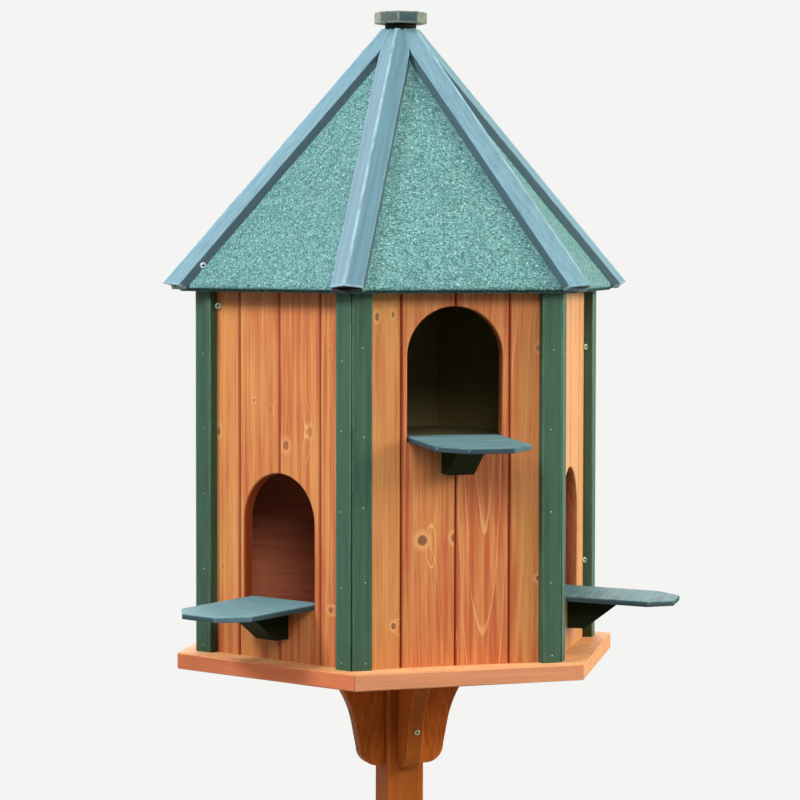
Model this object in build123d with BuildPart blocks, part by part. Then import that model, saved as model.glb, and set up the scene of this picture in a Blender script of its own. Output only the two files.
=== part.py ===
from build123d import *
from math import cos, radians, sin, tan

# Six-sided garden dovecote on a square post, with a nest box behind each of its openings.
# Millimetres, +Z up, origin at the foot of the post on the ground.  The front of the house faces
# -Y, and a face is known by its turn, the direction of its outward normal in degrees from +X.

# ---------------------------------------------------------------- driving sizes
# Post and its brackets
post_length = 1060.0
post_side = 50.0
post_arris = 2.0
stand_turn = 2.0              # degrees that the post and base sit turned under the house
bracket_thickness = 22.0
bracket_reach = 93.0          # along the underside of the base, from the face of the post
bracket_depth = 139.0
bracket_toe_radius = 24.0
bracket_toe_reach = 33.0      # from the face of the post to the widest point of the toe
bracket_shank_length = 32.0
bracket_shank_lean = 11.0     # degrees from upright

# Base
base_corner_radius = 303.0
base_thickness = 21.0
edging_width = 12.0
edging_gap = 0.4
edging_arris = 1.5

# House
wall_apothem = 226.5          # from the axis to the outer face of the boards
wall_thickness = 15.0
batten_width = 27.0
batten_thickness = 12.5
batten_gap = 1.2
opening_width = 125.0
opening_height = 168.0
lower_sill = 68.0             # above the base
storey_height = 212.0
floor_drop = 8.0              # top of the upper floor, below the sill of the upper opening
floor_thickness = 9.0
partition_thickness = 9.0
partition_gap = 0.6           # between the inner ends of the partitions
inside_clearance = 0.3

# Landing plates and the blocks under them
plate_thickness = 7.0
plate_side_clearance = 1.5
plate_side_reach = 110.0      # from the wall to where the corner is clipped
plate_reach = 140.0
plate_clip_width = 32.0
plate_fall = 2.5              # degrees, outwards
block_width = 36.0
block_height = 40.0
block_foot = 22.5
block_reach = 71.0

# Roof
roof_pitch = 52.5
eave_apothem = 262.0          # upper arris of the roof covering
eave_height = 470.0           # of that arris, above the base
roof_panel_thickness = 12.0
eave_rounding = 4.0
capping_ridge_height = 14.2   # square to the slope of the roof covering
capping_edge_height = 9.7     # the same, at either side
capping_width = 40.0
capping_overrun = 5.0         # down the slope, past the eave
roof_top_apothem = 5.0       # of the roof covering at the level cut under the neck
neck_radius = 20.5
neck_height = 6.5
cap_corner_radius = 34.5
cap_height = 15.0
cap_sides = 8
cap_arris = 1.2

# ---------------------------------------------------------------- worked-out values
face_names = ("front", "front_right", "back_right", "back", "back_left", "front_left")
corner_names = ("front_right", "right", "back_right", "back_left", "left", "front_left")
bracket_names = ("front", "right", "back", "left")
upper_faces = ("front",)
lower_faces = ("front_right", "back", "front_left")
front_turn = -90.0
face_turn_step = 360.0 / len(face_names)
half_face = face_turn_step / 2.0
bracket_turn_step = 360.0 / len(bracket_names)
cap_turn_step = 360.0 / cap_sides
faces = {name: front_turn + place * face_turn_step for place, name in enumerate(face_names)}
corners = {name: front_turn + place * face_turn_step + half_face for place, name in enumerate(corner_names)}

base_top = post_length + base_thickness
half_opening = opening_width / 2.0
base_apothem = base_corner_radius * cos(radians(half_face))
base_board_apothem = base_apothem - edging_width
wall_inner_apothem = wall_apothem - wall_thickness
batten_apothem = wall_apothem + batten_thickness
batten_outer_edge = batten_apothem * tan(radians(half_face))
batten_inner_edge = batten_outer_edge - batten_width
upper_sill = lower_sill + storey_height
upper_floor_top = base_top + upper_sill - floor_drop
upper_floor_underside = upper_floor_top - floor_thickness
partition_start = partition_thickness / 2.0 / tan(radians(face_turn_step)) + partition_gap
partition_end = wall_inner_apothem - inside_clearance
pitch = radians(roof_pitch)
half_capping = capping_width / 2.0
hip_slope = tan(pitch) * cos(radians(half_face))
ridge_rise = capping_ridge_height / cos(pitch)
side_fall = tan(pitch) * sin(radians(half_face)) + (ridge_rise - capping_edge_height / cos(pitch)) / half_capping
roof_top = base_top + eave_height + (eave_apothem - roof_top_apothem) * tan(pitch)
side_run = 2.0 * base_corner_radius


def upright_plane(turn):
    """The upright plane through the axis towards one face: x outwards, y up."""
    outward = (cos(radians(turn)), sin(radians(turn)), 0)
    across = (sin(radians(turn)), -cos(radians(turn)), 0)
    return Plane(origin=(0, 0, 0), x_dir=outward, z_dir=across)


def face_plane(turn, apothem, height):
    """The plane of one face of the house: x along the face, y up, z outwards."""
    outward = Vector(cos(radians(turn)), sin(radians(turn)), 0)
    along = Vector(-sin(radians(turn)), cos(radians(turn)), 0)
    return Plane(origin=outward * apothem + Vector(0, 0, height), x_dir=along, z_dir=outward)


def level_plane(turn, height):
    """A level plane at a height, turned about the axis."""
    along = (cos(radians(turn)), sin(radians(turn)), 0)
    return Plane(origin=(0, 0, height), x_dir=along, z_dir=(0, 0, 1))


def cut_plane(turn, offset=0.0):
    """The upright plane that holds the direction of turn, moved sideways by an offset."""
    normal = Vector(-sin(radians(turn)), cos(radians(turn)), 0)
    return Plane(origin=normal * offset, z_dir=normal)


def roof_line(depth, apothem=None):
    """A point of a roof layer in its upright section: its eave arris, or where it meets an apothem.

    Depth is measured square to the slope, down from the roof covering."""
    eave_x = eave_apothem - depth * sin(pitch)
    eave_y = base_top + eave_height - depth * cos(pitch)
    if apothem is None:
        return eave_x, eave_y
    return apothem, eave_y + (eave_x - apothem) * tan(pitch)


def overrun_point(depth):
    """The lower end of a hip capping at a depth under the covering, in the upright section."""
    x, y = roof_line(depth)
    return x + capping_overrun * cos(pitch), y - capping_overrun * sin(pitch)


def capping_plane(corner_turn):
    """The sloping top of one side of a hip capping, from its ridge down to its edge."""
    outward = Vector(cos(radians(corner_turn)), sin(radians(corner_turn)), 0)
    sideways = Vector(-sin(radians(corner_turn)), cos(radians(corner_turn)), 0)
    eave_ridge = base_top + eave_height + ridge_rise
    return Plane(
        origin=outward * (eave_apothem / cos(radians(half_face))) + Vector(0, 0, eave_ridge),
        z_dir=outward * hip_slope + sideways * side_fall + Vector(0, 0, 1),
    )


def underside_height(apothem):
    """Height of the underside of the roof panels at an apothem."""
    return roof_line(roof_panel_thickness, apothem)[1]


def near_any(vertex, points):
    """True for a vertex of a sketch that stands at one of the given points."""
    return any(abs(vertex.X - x) + abs(vertex.Y - y) < 0.01 for x, y in points)


def mitred_section(turn, outline, end_gap=0.0, rounded=(), radius=0.0):
    """Run an upright section along one face and mitre it at both corners of that face."""
    with BuildSketch(upright_plane(turn)) as section:
        with BuildLine():
            Polyline(*outline, close=True)
        make_face()
        if rounded:
            fillet([v for v in section.vertices() if near_any(v, rounded)], radius)
    extrude(section.sketch, amount=side_run, both=True)
    split(bisect_by=cut_plane(turn - half_face, end_gap / 2.0), keep=Keep.TOP)
    split(bisect_by=cut_plane(turn + half_face, -end_gap / 2.0), keep=Keep.BOTTOM)


# ---------------------------------------------------------------- post and brackets
with BuildPart() as post:
    with BuildSketch(level_plane(stand_turn, 0)):
        RectangleRounded(post_side, post_side, post_arris)
    extrude(amount=post_length)
post.part.label = "post"
export_step(post.part, "parts/post.step")

half_post = post_side / 2.0
toe_x = half_post + bracket_toe_reach
bracket_foot = post_length - bracket_depth
bracket_end = half_post + bracket_reach
toe_y = bracket_foot + bracket_toe_radius
shank_x = toe_x + bracket_shank_length * sin(radians(bracket_shank_lean))
shank_y = toe_y + bracket_shank_length * cos(radians(bracket_shank_lean))
for place, bracket_name in enumerate(bracket_names):
    with BuildPart() as bracket:
        with BuildSketch(upright_plane(front_turn + place * bracket_turn_step + stand_turn)):
            with BuildLine():
                Line((half_post, post_length), (bracket_end, post_length))
                Line((half_post, post_length), (half_post, bracket_foot))
                Line((half_post, bracket_foot), (toe_x - bracket_toe_radius, bracket_foot))
                RadiusArc((toe_x - bracket_toe_radius, bracket_foot), (toe_x, toe_y), -bracket_toe_radius)
                shank = Line((toe_x, toe_y), (shank_x, shank_y))
                TangentArc((shank_x, shank_y), (bracket_end, post_length), tangent=shank % 1)
            make_face()
        extrude(amount=bracket_thickness / 2.0, both=True)
    bracket.part.label = "post_bracket_" + bracket_name
    export_step(bracket.part, "parts/post_bracket_" + bracket_name + ".step")

# ---------------------------------------------------------------- base
with BuildPart() as base_board:
    with BuildSketch(level_plane(stand_turn, post_length)):
        RegularPolygon(radius=base_board_apothem, side_count=len(faces), major_radius=False)
    extrude(amount=base_thickness)
base_board.part.label = "base_board"
export_step(base_board.part, "parts/base_board.step")

edging_outline = (
    (base_board_apothem, post_length),
    (base_apothem, post_length),
    (base_apothem, base_top),
    (base_board_apothem, base_top),
)
edging_strips = []
for turn in faces.values():
    with BuildPart() as edging_strip:
        mitred_section(turn + stand_turn, edging_outline, edging_gap, edging_outline[1:3], edging_arris)
    edging_strips.append(edging_strip.part)
with BuildPart() as base_edging:
    add(edging_strips)
base_edging.part.label = "base_edging"
export_step(base_edging.part, "parts/base_edging.step")

# ---------------------------------------------------------------- floor and partitions
with BuildPart() as upper_floor:
    with BuildSketch(level_plane(0, upper_floor_underside)):
        RegularPolygon(
            radius=wall_inner_apothem - inside_clearance,
            side_count=len(faces),
            major_radius=False,
        )
    extrude(amount=floor_thickness)
upper_floor.part.label = "upper_floor"
export_step(upper_floor.part, "parts/upper_floor.step")

partition_boards = []
for face_name, turn in faces.items():
    if face_name in lower_faces:
        continue
    with BuildPart() as partition_board:
        with BuildSketch(upright_plane(turn)):
            with BuildLine():
                Polyline(
                    (partition_start, base_top),
                    (partition_end, base_top),
                    (partition_end, upper_floor_underside),
                    (partition_start, upper_floor_underside),
                    close=True,
                )
            make_face()
        extrude(amount=partition_thickness / 2.0, both=True)
    partition_boards.append(partition_board.part)
with BuildPart() as lower_partitions:
    add(partition_boards)
lower_partitions.part.label = "lower_partitions"
export_step(lower_partitions.part, "parts/lower_partitions.step")

# ---------------------------------------------------------------- walls
wall_outline = (
    (wall_inner_apothem, base_top),
    (wall_apothem, base_top),
    (wall_apothem, underside_height(wall_apothem)),
    (wall_inner_apothem, underside_height(wall_inner_apothem)),
)
sill_heights = {name: lower_sill for name in lower_faces} | {name: upper_sill for name in upper_faces}
for face_name, turn in faces.items():
    with BuildPart() as wall:
        mitred_section(turn, wall_outline)
        if face_name in sill_heights:
            with BuildSketch(face_plane(turn, wall_apothem, base_top)):
                sill = sill_heights[face_name]
                spring = sill + opening_height - half_opening
                crown = (0, spring + half_opening)
                with BuildLine():
                    Polyline(
                        (-half_opening, spring),
                        (-half_opening, sill),
                        (half_opening, sill),
                        (half_opening, spring),
                    )
                    ThreePointArc((half_opening, spring), crown, (-half_opening, spring))
                make_face()
            extrude(amount=-wall_thickness, mode=Mode.SUBTRACT)
    wall.part.label = "wall_" + face_name
    export_step(wall.part, "parts/wall_" + face_name + ".step")

# ---------------------------------------------------------------- corner battens
batten_outline = (
    (wall_apothem, base_top),
    (batten_apothem, base_top),
    (batten_apothem, underside_height(batten_apothem)),
    (wall_apothem, underside_height(wall_apothem)),
)
for corner_name, corner_turn in corners.items():
    pair = []
    for side in (-1, 1):
        turn = corner_turn + side * half_face
        with BuildPart() as batten:
            mitred_section(turn, batten_outline, batten_gap)
            batten_side = Keep.TOP if side < 0 else Keep.BOTTOM
            split(bisect_by=cut_plane(turn, -side * batten_inner_edge), keep=batten_side)
        pair.append(batten.part)
    with BuildPart() as corner_battens:
        add(pair)
    corner_battens.part.label = "corner_battens_" + corner_name
    export_step(corner_battens.part, "parts/corner_battens_" + corner_name + ".step")

# ---------------------------------------------------------------- landing plates and blocks
fall = radians(plate_fall)
half_plate = half_opening - plate_side_clearance
plate_outline = (
    (-half_plate, -wall_thickness),
    (half_plate, -wall_thickness),
    (half_plate, plate_side_reach),
    (half_plate - plate_clip_width, plate_reach),
    (plate_clip_width - half_plate, plate_reach),
    (-half_plate, plate_side_reach),
)
bearing_blocks = []
for face_name, sill in sill_heights.items():
    turn = faces[face_name]
    sill_height = base_top + sill
    outward = Vector(cos(radians(turn)), sin(radians(turn)), 0)
    along = Vector(sin(radians(turn)), -cos(radians(turn)), 0)
    plate_plane = Plane(
        origin=outward * wall_apothem + Vector(0, 0, sill_height),
        x_dir=along,
        z_dir=outward * sin(fall) + Vector(0, 0, cos(fall)),
    )
    with BuildPart() as landing_plate:
        with BuildSketch(plate_plane):
            with BuildLine():
                Polyline(*plate_outline, close=True)
            make_face()
        extrude(amount=plate_thickness)
    landing_plate.part.label = "landing_plate_" + face_name
    export_step(landing_plate.part, "parts/landing_plate_" + face_name + ".step")
    with BuildPart() as bearing_block:
        with BuildSketch(upright_plane(turn)):
            with BuildLine():
                Polyline(
                    (wall_apothem, sill_height - block_height),
                    (wall_apothem + block_foot, sill_height - block_height),
                    (wall_apothem + block_reach, sill_height - block_reach * tan(fall)),
                    (wall_apothem, sill_height),
                    close=True,
                )
            make_face()
        extrude(amount=block_width / 2.0, both=True)
    bearing_blocks.append(bearing_block.part)
with BuildPart() as plate_blocks:
    add(bearing_blocks)
plate_blocks.part.label = "plate_blocks"
export_step(plate_blocks.part, "parts/plate_blocks.step")

# ---------------------------------------------------------------- roof
covering_eave = roof_line(0)
board_eave = roof_line(roof_panel_thickness)
past_axis = -eave_apothem     # each section runs on past the axis, and the mitres cut it there
roof_panel_outline = (
    board_eave,
    covering_eave,
    roof_line(0, past_axis),
    roof_line(roof_panel_thickness, past_axis),
)
capping_outline = (
    overrun_point(0),
    overrun_point(-capping_ridge_height),
    roof_line(-capping_ridge_height, past_axis),
    roof_line(0, past_axis),
)
for face_name, turn in faces.items():
    with BuildPart() as roof_panel:
        mitred_section(turn, roof_panel_outline, 0, (board_eave, covering_eave), eave_rounding)
        split(bisect_by=level_plane(0, roof_top), keep=Keep.BOTTOM)
    roof_panel.part.label = "roof_panel_" + face_name
    export_step(roof_panel.part, "parts/roof_panel_" + face_name + ".step")

for corner_name, corner_turn in corners.items():
    with BuildPart() as hip_capping:
        mitred_section(corner_turn + half_face, capping_outline)
        split(bisect_by=level_plane(0, roof_top), keep=Keep.BOTTOM)
        split(bisect_by=cut_plane(corner_turn, half_capping), keep=Keep.BOTTOM)
        split(bisect_by=capping_plane(corner_turn), keep=Keep.BOTTOM)
        split(bisect_by=cut_plane(corner_turn + half_face), keep=Keep.BOTTOM)
        mirror(about=cut_plane(corner_turn))
    hip_capping.part.label = "hip_capping_" + corner_name
    export_step(hip_capping.part, "parts/hip_capping_" + corner_name + ".step")

# ---------------------------------------------------------------- cap
with BuildPart() as cap_neck:
    with BuildSketch(level_plane(0, roof_top)):
        Circle(neck_radius)
    extrude(amount=neck_height)
cap_neck.part.label = "cap_neck"
export_step(cap_neck.part, "parts/cap_neck.step")

with BuildPart() as roof_cap:
    with BuildSketch(level_plane(0, roof_top + neck_height)):
        RegularPolygon(radius=cap_corner_radius, side_count=cap_sides, rotation=cap_turn_step / 2.0)
    extrude(amount=cap_height)
    chamfer(roof_cap.faces().sort_by(Axis.Z)[-1].edges(), cap_arris)
roof_cap.part.label = "roof_cap"
export_step(roof_cap.part, "parts/roof_cap.step")
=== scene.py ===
"""Looks of a six-sided garden dovecote on a post: boards, battens, felted roof, plates and stand."""
from functools import partial
from math import atan, atan2, cos, degrees, radians, sin, tan

import bmesh
import bpy
import numpy as np
from bpy.props import FloatProperty, FloatVectorProperty, PointerProperty
from mathutils import Matrix, Vector


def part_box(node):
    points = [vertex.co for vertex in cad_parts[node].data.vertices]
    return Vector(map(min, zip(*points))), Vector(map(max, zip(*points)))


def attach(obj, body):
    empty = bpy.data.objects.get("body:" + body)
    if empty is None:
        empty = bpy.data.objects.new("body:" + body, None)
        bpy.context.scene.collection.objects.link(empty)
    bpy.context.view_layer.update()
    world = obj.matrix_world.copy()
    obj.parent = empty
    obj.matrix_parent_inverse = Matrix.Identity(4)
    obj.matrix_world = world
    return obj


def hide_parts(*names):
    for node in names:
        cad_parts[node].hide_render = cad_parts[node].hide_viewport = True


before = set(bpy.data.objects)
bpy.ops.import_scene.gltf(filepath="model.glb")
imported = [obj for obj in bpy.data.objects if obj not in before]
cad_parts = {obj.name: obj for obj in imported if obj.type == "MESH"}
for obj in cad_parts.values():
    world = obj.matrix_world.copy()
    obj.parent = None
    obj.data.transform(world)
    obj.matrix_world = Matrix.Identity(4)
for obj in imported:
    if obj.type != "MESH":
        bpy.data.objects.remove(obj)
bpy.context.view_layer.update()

bl_info = {
    "name": "Garden dovecote", "version": (1, 0, 0), "blender": (4, 5, 0),
    "location": "3D View > Sidebar > Dovecote",
    "description": "Dresses the dovecote's frame with boards, felt, timber trim and fixings",
    "category": "Object",
}

# ---------------------------------------------------------------- measures read from the frame
SAME = 1e-4                                # two measures of the frame that differ by less are one
APART = 0.001                              # and two that differ by more are not
HAIR = 1e-5                                # a breadth too small to see
FACE_STEP = 60.0
HALF_FACE = FACE_STEP / 2.0
FACE_SLOPE = tan(radians(HALF_FACE))       # half a face's width for each unit out from the axis
FRONT = -90.0
FACES = {
    name: FRONT + place * FACE_STEP
    for place, name in enumerate(("front", "front_right", "back_right", "back", "back_left", "front_left"))
}
CORNERS = {
    name: FRONT + HALF_FACE + place * FACE_STEP
    for place, name in enumerate(("front_right", "right", "back_right", "back_left", "left", "front_left"))
}
BRACKETS = {name: FRONT + place * 90.0 for place, name in enumerate(("front", "right", "back", "left"))}


def vertices(node):
    """The points of a CAD node, one row each."""
    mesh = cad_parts[node].data
    flat = np.empty(len(mesh.vertices) * 3, np.float32)
    mesh.vertices.foreach_get("co", flat)
    return flat.reshape(-1, 3).astype(float)


def reach(node, turn):
    """How far a CAD node goes from the axis in one level direction, in degrees from +X."""
    points = vertices(node)
    return float((points[:, 0] * cos(radians(turn)) + points[:, 1] * sin(radians(turn))).max())


BASE_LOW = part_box("base_board")[0].z
BASE_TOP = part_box("base_board")[1].z
base_points = vertices("base_board")
farthest = base_points[np.argmax(np.hypot(base_points[:, 0], base_points[:, 1]))]
STAND_TURN = degrees(atan2(farthest[1], farthest[0])) % FACE_STEP
BASE_OUT = reach("base_edging", FRONT + STAND_TURN)
BASE_BOARD_OUT = reach("base_board", FRONT + STAND_TURN)
WALL_OUT = -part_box("wall_front")[0].y
WALL_IN = -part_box("wall_front")[1].y
BATTEN_OUT = reach("corner_battens_front_right", FRONT)
BATTEN_INNER_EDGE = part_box("corner_battens_front_right")[0].x
FLOOR_LOW, FLOOR_HIGH = (corner.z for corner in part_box("upper_floor"))
FLOOR_OUT = reach("upper_floor", FRONT)

front_wall = vertices("wall_front")
opening_corners = front_wall[front_wall[:, 2] > BASE_TOP + APART]
UPPER_SILL = opening_corners[:, 2].min()
HALF_OPENING = opening_corners[opening_corners[:, 2] < UPPER_SILL + SAME, 0].max()
arch_points = front_wall[np.abs(front_wall[:, 0]) < HALF_OPENING - APART]
OPENING_HEIGHT = arch_points[:, 2].max() - UPPER_SILL
side_wall = vertices("wall_back")
LOWER_SILL = side_wall[side_wall[:, 2] > BASE_TOP + APART, 2].min()
SILLS = {"front": UPPER_SILL, "front_right": LOWER_SILL, "back": LOWER_SILL, "front_left": LOWER_SILL}

roof_points = vertices("roof_panel_front")
ROOF_TOP = roof_points[:, 2].max()
roof_top_out = -roof_points[roof_points[:, 2] > ROOF_TOP - SAME, 1].min()
below = roof_points[-roof_points[:, 1] > roof_top_out + 0.05]
ROOF_SLOPE = ((ROOF_TOP - below[:, 2]) / (-below[:, 1] - roof_top_out)).min()
PITCH = atan(ROOF_SLOPE)


def down_slope(node):
    """How far a CAD node goes down the slope of the front of the roof."""
    points = vertices(node)
    return float((-points[:, 1] * cos(PITCH) - points[:, 2] * sin(PITCH)).max())


EAVE_END = down_slope("roof_panel_front")
EAVE_OUT = (EAVE_END + (ROOF_TOP + roof_top_out * ROOF_SLOPE) * sin(PITCH)) * cos(PITCH)
EAVE_HEIGHT = ROOF_TOP - (EAVE_OUT - roof_top_out) * ROOF_SLOPE
CAPPING_OVERRUN = down_slope("hip_capping_front_right") - EAVE_END
CAPPING_HALF = reach("hip_capping_right", 90.0)
NECK_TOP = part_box("cap_neck")[1].z
NECK_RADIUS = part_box("cap_neck")[1].x
CAP_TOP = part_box("roof_cap")[1].z
CAP_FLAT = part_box("roof_cap")[1].x
BRACKET_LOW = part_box("post_bracket_front")[0].z
BRACKET_OUT = reach("post_bracket_front", FRONT + STAND_TURN)
BRACKET_HALF = reach("post_bracket_front", STAND_TURN)
POST_HALF = reach("post", STAND_TURN)
# The leaf of the partitions that runs to the front lies along -y, so its x is its thickness.
leaf_points = vertices("lower_partitions")
PARTITION_HALF = np.abs(leaf_points[leaf_points[:, 1] < 0.5 * leaf_points[:, 1].min(), 0]).min()


def covering_height(out):
    """Height of the roof covering at a distance out from the axis: it falls with the roof's slope."""
    return ROOF_TOP - (out - roof_top_out) * ROOF_SLOPE


OUTER_WALL_TOP = front_wall[front_wall[:, 1] < SAME - WALL_OUT, 2].max()
ROOF_DEPTH = covering_height(WALL_OUT) - OUTER_WALL_TOP      # upright thickness of the roof panels
tip_out = reach("hip_capping_right", 0.0) * cos(radians(HALF_FACE))
tip_height = (tip_out * cos(PITCH) - EAVE_END - CAPPING_OVERRUN) / sin(PITCH)
RIDGE_RISE = tip_height - covering_height(tip_out)           # of a hip capping, above the covering
edge_points = vertices("hip_capping_right")
edge_points = edge_points[edge_points[:, 1] > CAPPING_HALF - HAIR]
edge_out = edge_points[:, 0] * cos(radians(HALF_FACE)) + edge_points[:, 1] * sin(radians(HALF_FACE))
EDGE_RISE = (edge_points[:, 2] - covering_height(edge_out)).max()


def underside_height(out):
    """Height of the underside of the roof panels at a distance out from the axis."""
    return covering_height(out) - ROOF_DEPTH


# ---------------------------------------------------------------- settings
def linear(code):
    """The linear red, green and blue of an sRGB hex colour."""
    channels = np.array([int(code[i:i + 2], 16) for i in (1, 3, 5)]) / 255.0
    return tuple(np.where(channels <= 0.04045, channels / 12.92, ((channels + 0.055) / 1.055) ** 2.4))


def size(label, text, default):
    """A length that a user can set, in metres."""
    return FloatProperty(name=label, description=text, default=default, unit="LENGTH", subtype="DISTANCE")


def colour(label, text, code):
    """A colour that a user can set, given as sRGB hex."""
    return FloatVectorProperty(
        name=label, description=text, default=linear(code), min=0.0, max=1.0, subtype="COLOR"
    )


def angle(label, text, default):
    """An angle that a user can set, given in degrees."""
    return FloatProperty(name=label, description=text, default=radians(default), subtype="ANGLE")


def amount(label, text, default):
    """A plain number that a user can set."""
    return FloatProperty(name=label, description=text, default=default)


class DovecoteBoardSettings(bpy.types.PropertyGroup):
    """Matched boards of the six walls."""

    board_width: size("Board width", "Width that one matched board shows", 0.071)
    groove_width: size("Groove chamfer", "Width of the chamfer along each edge of a board", 0.0016)
    groove_depth: size("Groove depth", "Depth of that chamfer", 0.0017)
    joint_half: size("Half joint", "Half the width of the open joint between two boards", 0.0005)
    joint_depth: size("Joint depth", "Depth of the open joint", 0.0055)
    arris: size("Opening arris", "Width of the eased edge round an opening", 0.0011)
    body: colour("Board colour", "Honey stain on the soft spring wood", "#d18b48")
    deep: colour("Deep colour", "Patches that took more of the stain", "#bc5a30")
    pale: colour("Pale colour", "Streaks that took less of the stain", "#e09a55")
    line: colour("Ring colour", "Hard summer wood, which takes least stain", "#f2b172")
    knot: colour("Knot colour", "Heart of a knot", "#5b3a2a")
    seam: colour("Seam colour", "Stain gathered in the joints and on cut edges", "#983711")
    # Painted shade: the inside faces of the boards take this greyed colour, for the dim inside of the boxes.
    inner: colour("Inner colour", "Bare wood inside, gone grey with dust and droppings", "#938354")
    # Also carries a painted highlight on the right of the openings and a painted sheen on the front right
    # wall.
    worn: colour("Edge colour", "Eased edges of the openings", "#efbd88")


class DovecoteTrimSettings(bpy.types.PropertyGroup):
    """Corner battens, landing plates and the blocks under them."""

    batten_arris: size("Batten arris", "Rounding of the corner battens", 0.0012)
    plate_thickness: size("Plate thickness", "Thickness of a landing plate", 0.007)
    plate_side_clearance: size("Plate clearance", "Gap at each side of a plate in its opening", 0.0015)
    plate_side_reach: size("Plate side", "Reach of a plate to where its corner is clipped", 0.110)
    plate_reach: size("Plate reach", "Reach of a plate from the wall", 0.140)
    plate_clip: size("Plate clip", "Width of the clipped corner", 0.032)
    plate_fall: angle("Plate fall", "Slope of a plate, down and outwards", 2.5)
    plate_arris: size("Plate arris", "Rounding of a plate's edges", 0.0013)
    block_width: size("Block width", "Width of the block under a plate", 0.036)
    block_height: size("Block height", "Height of the block at the wall", 0.040)
    block_foot: size("Block foot", "Reach of the block at its foot", 0.0225)
    block_reach: size("Block reach", "Reach of the block at its top", 0.071)
    batten: colour("Batten colour", "Dark green stain", "#345441")
    plate: colour("Plate colour", "Grey blue stain on the plates", "#688b90")
    plate_edge: colour("Plate edge", "End grain of the plates, which drinks the stain", "#35484f")
    block: colour("Block colour", "Near black green stain on the blocks", "#171f0e")


class DovecoteRoofSettings(bpy.types.PropertyGroup):
    """Felted roof panels, hip cappings and the cap."""

    eave_rounding: size("Eave rounding", "Radius of the felt where it turns under the eave", 0.0055)
    felt_wave: size("Felt wave", "Height of the slow waves in the felt", 0.0005)
    grain_size: size("Mineral grain", "Size of a mineral grain of the felt", 0.0017)
    ridge_arris: size("Ridge arris", "Rounding along the ridge of a hip capping", 0.0015)
    capping_arris: size("Capping arris", "Rounding of a hip capping's side edges", 0.0007)
    cap_arris: size("Cap arris", "Rounding of the cap", 0.0009)
    felt: colour("Felt colour", "Teal mineral grains", "#699c9b")
    felt_light: colour("Light grains", "Lighter mineral grains", "#89b8b7")
    felt_pale: colour("Pale grains", "The few near white mineral grains", "#c8e4de")
    felt_dark: colour("Dark grains", "Darker mineral grains", "#528684")
    bitumen: colour("Bitumen", "Bitumen that shows between the grains", "#1e3b33")
    capping: colour("Capping colour", "Slate blue stain", "#688f9f")
    # Also the painted light on the pale tops of some cappings and the painted highlight along their ridges.
    capping_wear_and_light: colour("Worn capping", "Slate blue stain where it has worn", "#a0c0c8")
    # Partly painted shade: the capping's lower end, which faces down, is made near black.
    capping_end_and_shade: colour("Capping end", "End grain of a capping, which drinks the stain", "#161d17")
    cap: colour("Cap colour", "Darker slate stain of the cap", "#3c5157")
    # Painted light as well: the sides of the cap turned to the light take this pale colour.
    cap_wear_and_light: colour("Worn cap", "Arrises and sides of the cap that are rubbed pale", "#8a9078")


class DovecoteStandSettings(bpy.types.PropertyGroup):
    """Base, post, brackets and the plywood inside."""

    edging_arris: size("Edging arris", "Rounding of the base edging", 0.0018)
    edging_gap: size("Edging gap", "Gap at the mitres of the base edging", 0.0005)
    post_arris: size("Post arris", "Rounding of the post", 0.002)
    bracket_arris: size("Bracket arris", "Rounding of the brackets", 0.0014)
    bracket_toe_radius: size("Toe radius", "Radius of a bracket's toe", 0.024)
    bracket_toe_reach: size("Toe reach", "Reach of the toe from the post", 0.033)
    bracket_shank: size("Shank length", "Straight stretch of a bracket above its toe", 0.032)
    bracket_lean: angle("Shank lean", "Lean of that stretch from upright", 11.0)
    base: colour("Base colour", "Planed softwood with a clear finish", "#d89068")
    base_deep: colour("Deep base", "Strips of the edging that took the finish deeper", "#c8480f")
    # Painted light: the tops of the base and the front right strip take this pale colour, as do the rubbed
    # arrises.
    base_wear_and_light: colour("Bleached base", "Top of the base, bleached in the sun", "#efba7c")
    post: colour("Post colour", "Chestnut stain", "#a65820")
    plywood: colour("Plywood colour", "Reddish brown stain on plywood", "#c46e4e")
    # Painted shade: the floor inside takes this greyed colour, matched to the inside of the walls.
    floor_shade: colour("Dust", "Droppings and dust on the plywood floor", "#a3956a")


class DovecoteFixingSettings(bpy.types.PropertyGroup):
    """Screws and nails."""

    screw_radius: size("Screw head", "Radius of a screw head", 0.0044)
    nail_radius: size("Nail head", "Radius of a nail head", 0.00107)
    nail_spacing: size("Nail spacing", "Distance between the nails of a batten", 0.095)
    zinc: colour("Zinc", "Yellow green passivated zinc", "#a9b48f")
    steel: colour("Bright steel", "Bright plated steel", "#dcdde2")
    # A painted shade in the sunk cross of a screw head.
    recess: colour("Recess", "Dark of the cross in a screw head", "#1b211a")


class DovecoteStageSettings(bpy.types.PropertyGroup):
    """Floor, background, lamps and camera."""

    floor_radius: size("Floor radius", "Radius of the pale floor", 14.0)
    lens: amount("Lens", "Focal length in millimetres", 132.8)
    camera_height: size("Camera height", "Height of the camera", 1.603)
    camera_distance: size("Camera distance", "Level distance of the camera from the post", 3.872)
    left_light: amount("Left light", "Level of the lamp on the left", 0.78)
    front_light: amount("Front light", "Level of the lamp in front", 0.50)
    right_light: amount("Right light", "Level of the lamp on the right", 1.06)
    back_light: amount("Back light", "Level of the lamps behind", 0.8)
    floor: colour("Floor colour", "Pale floor and background", "#f4f4f2")


SETTINGS = {
    "dovecote_boards": DovecoteBoardSettings, "dovecote_trim": DovecoteTrimSettings,
    "dovecote_roof": DovecoteRoofSettings, "dovecote_stand": DovecoteStandSettings,
    "dovecote_fixings": DovecoteFixingSettings, "dovecote_stage": DovecoteStageSettings,
}


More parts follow.
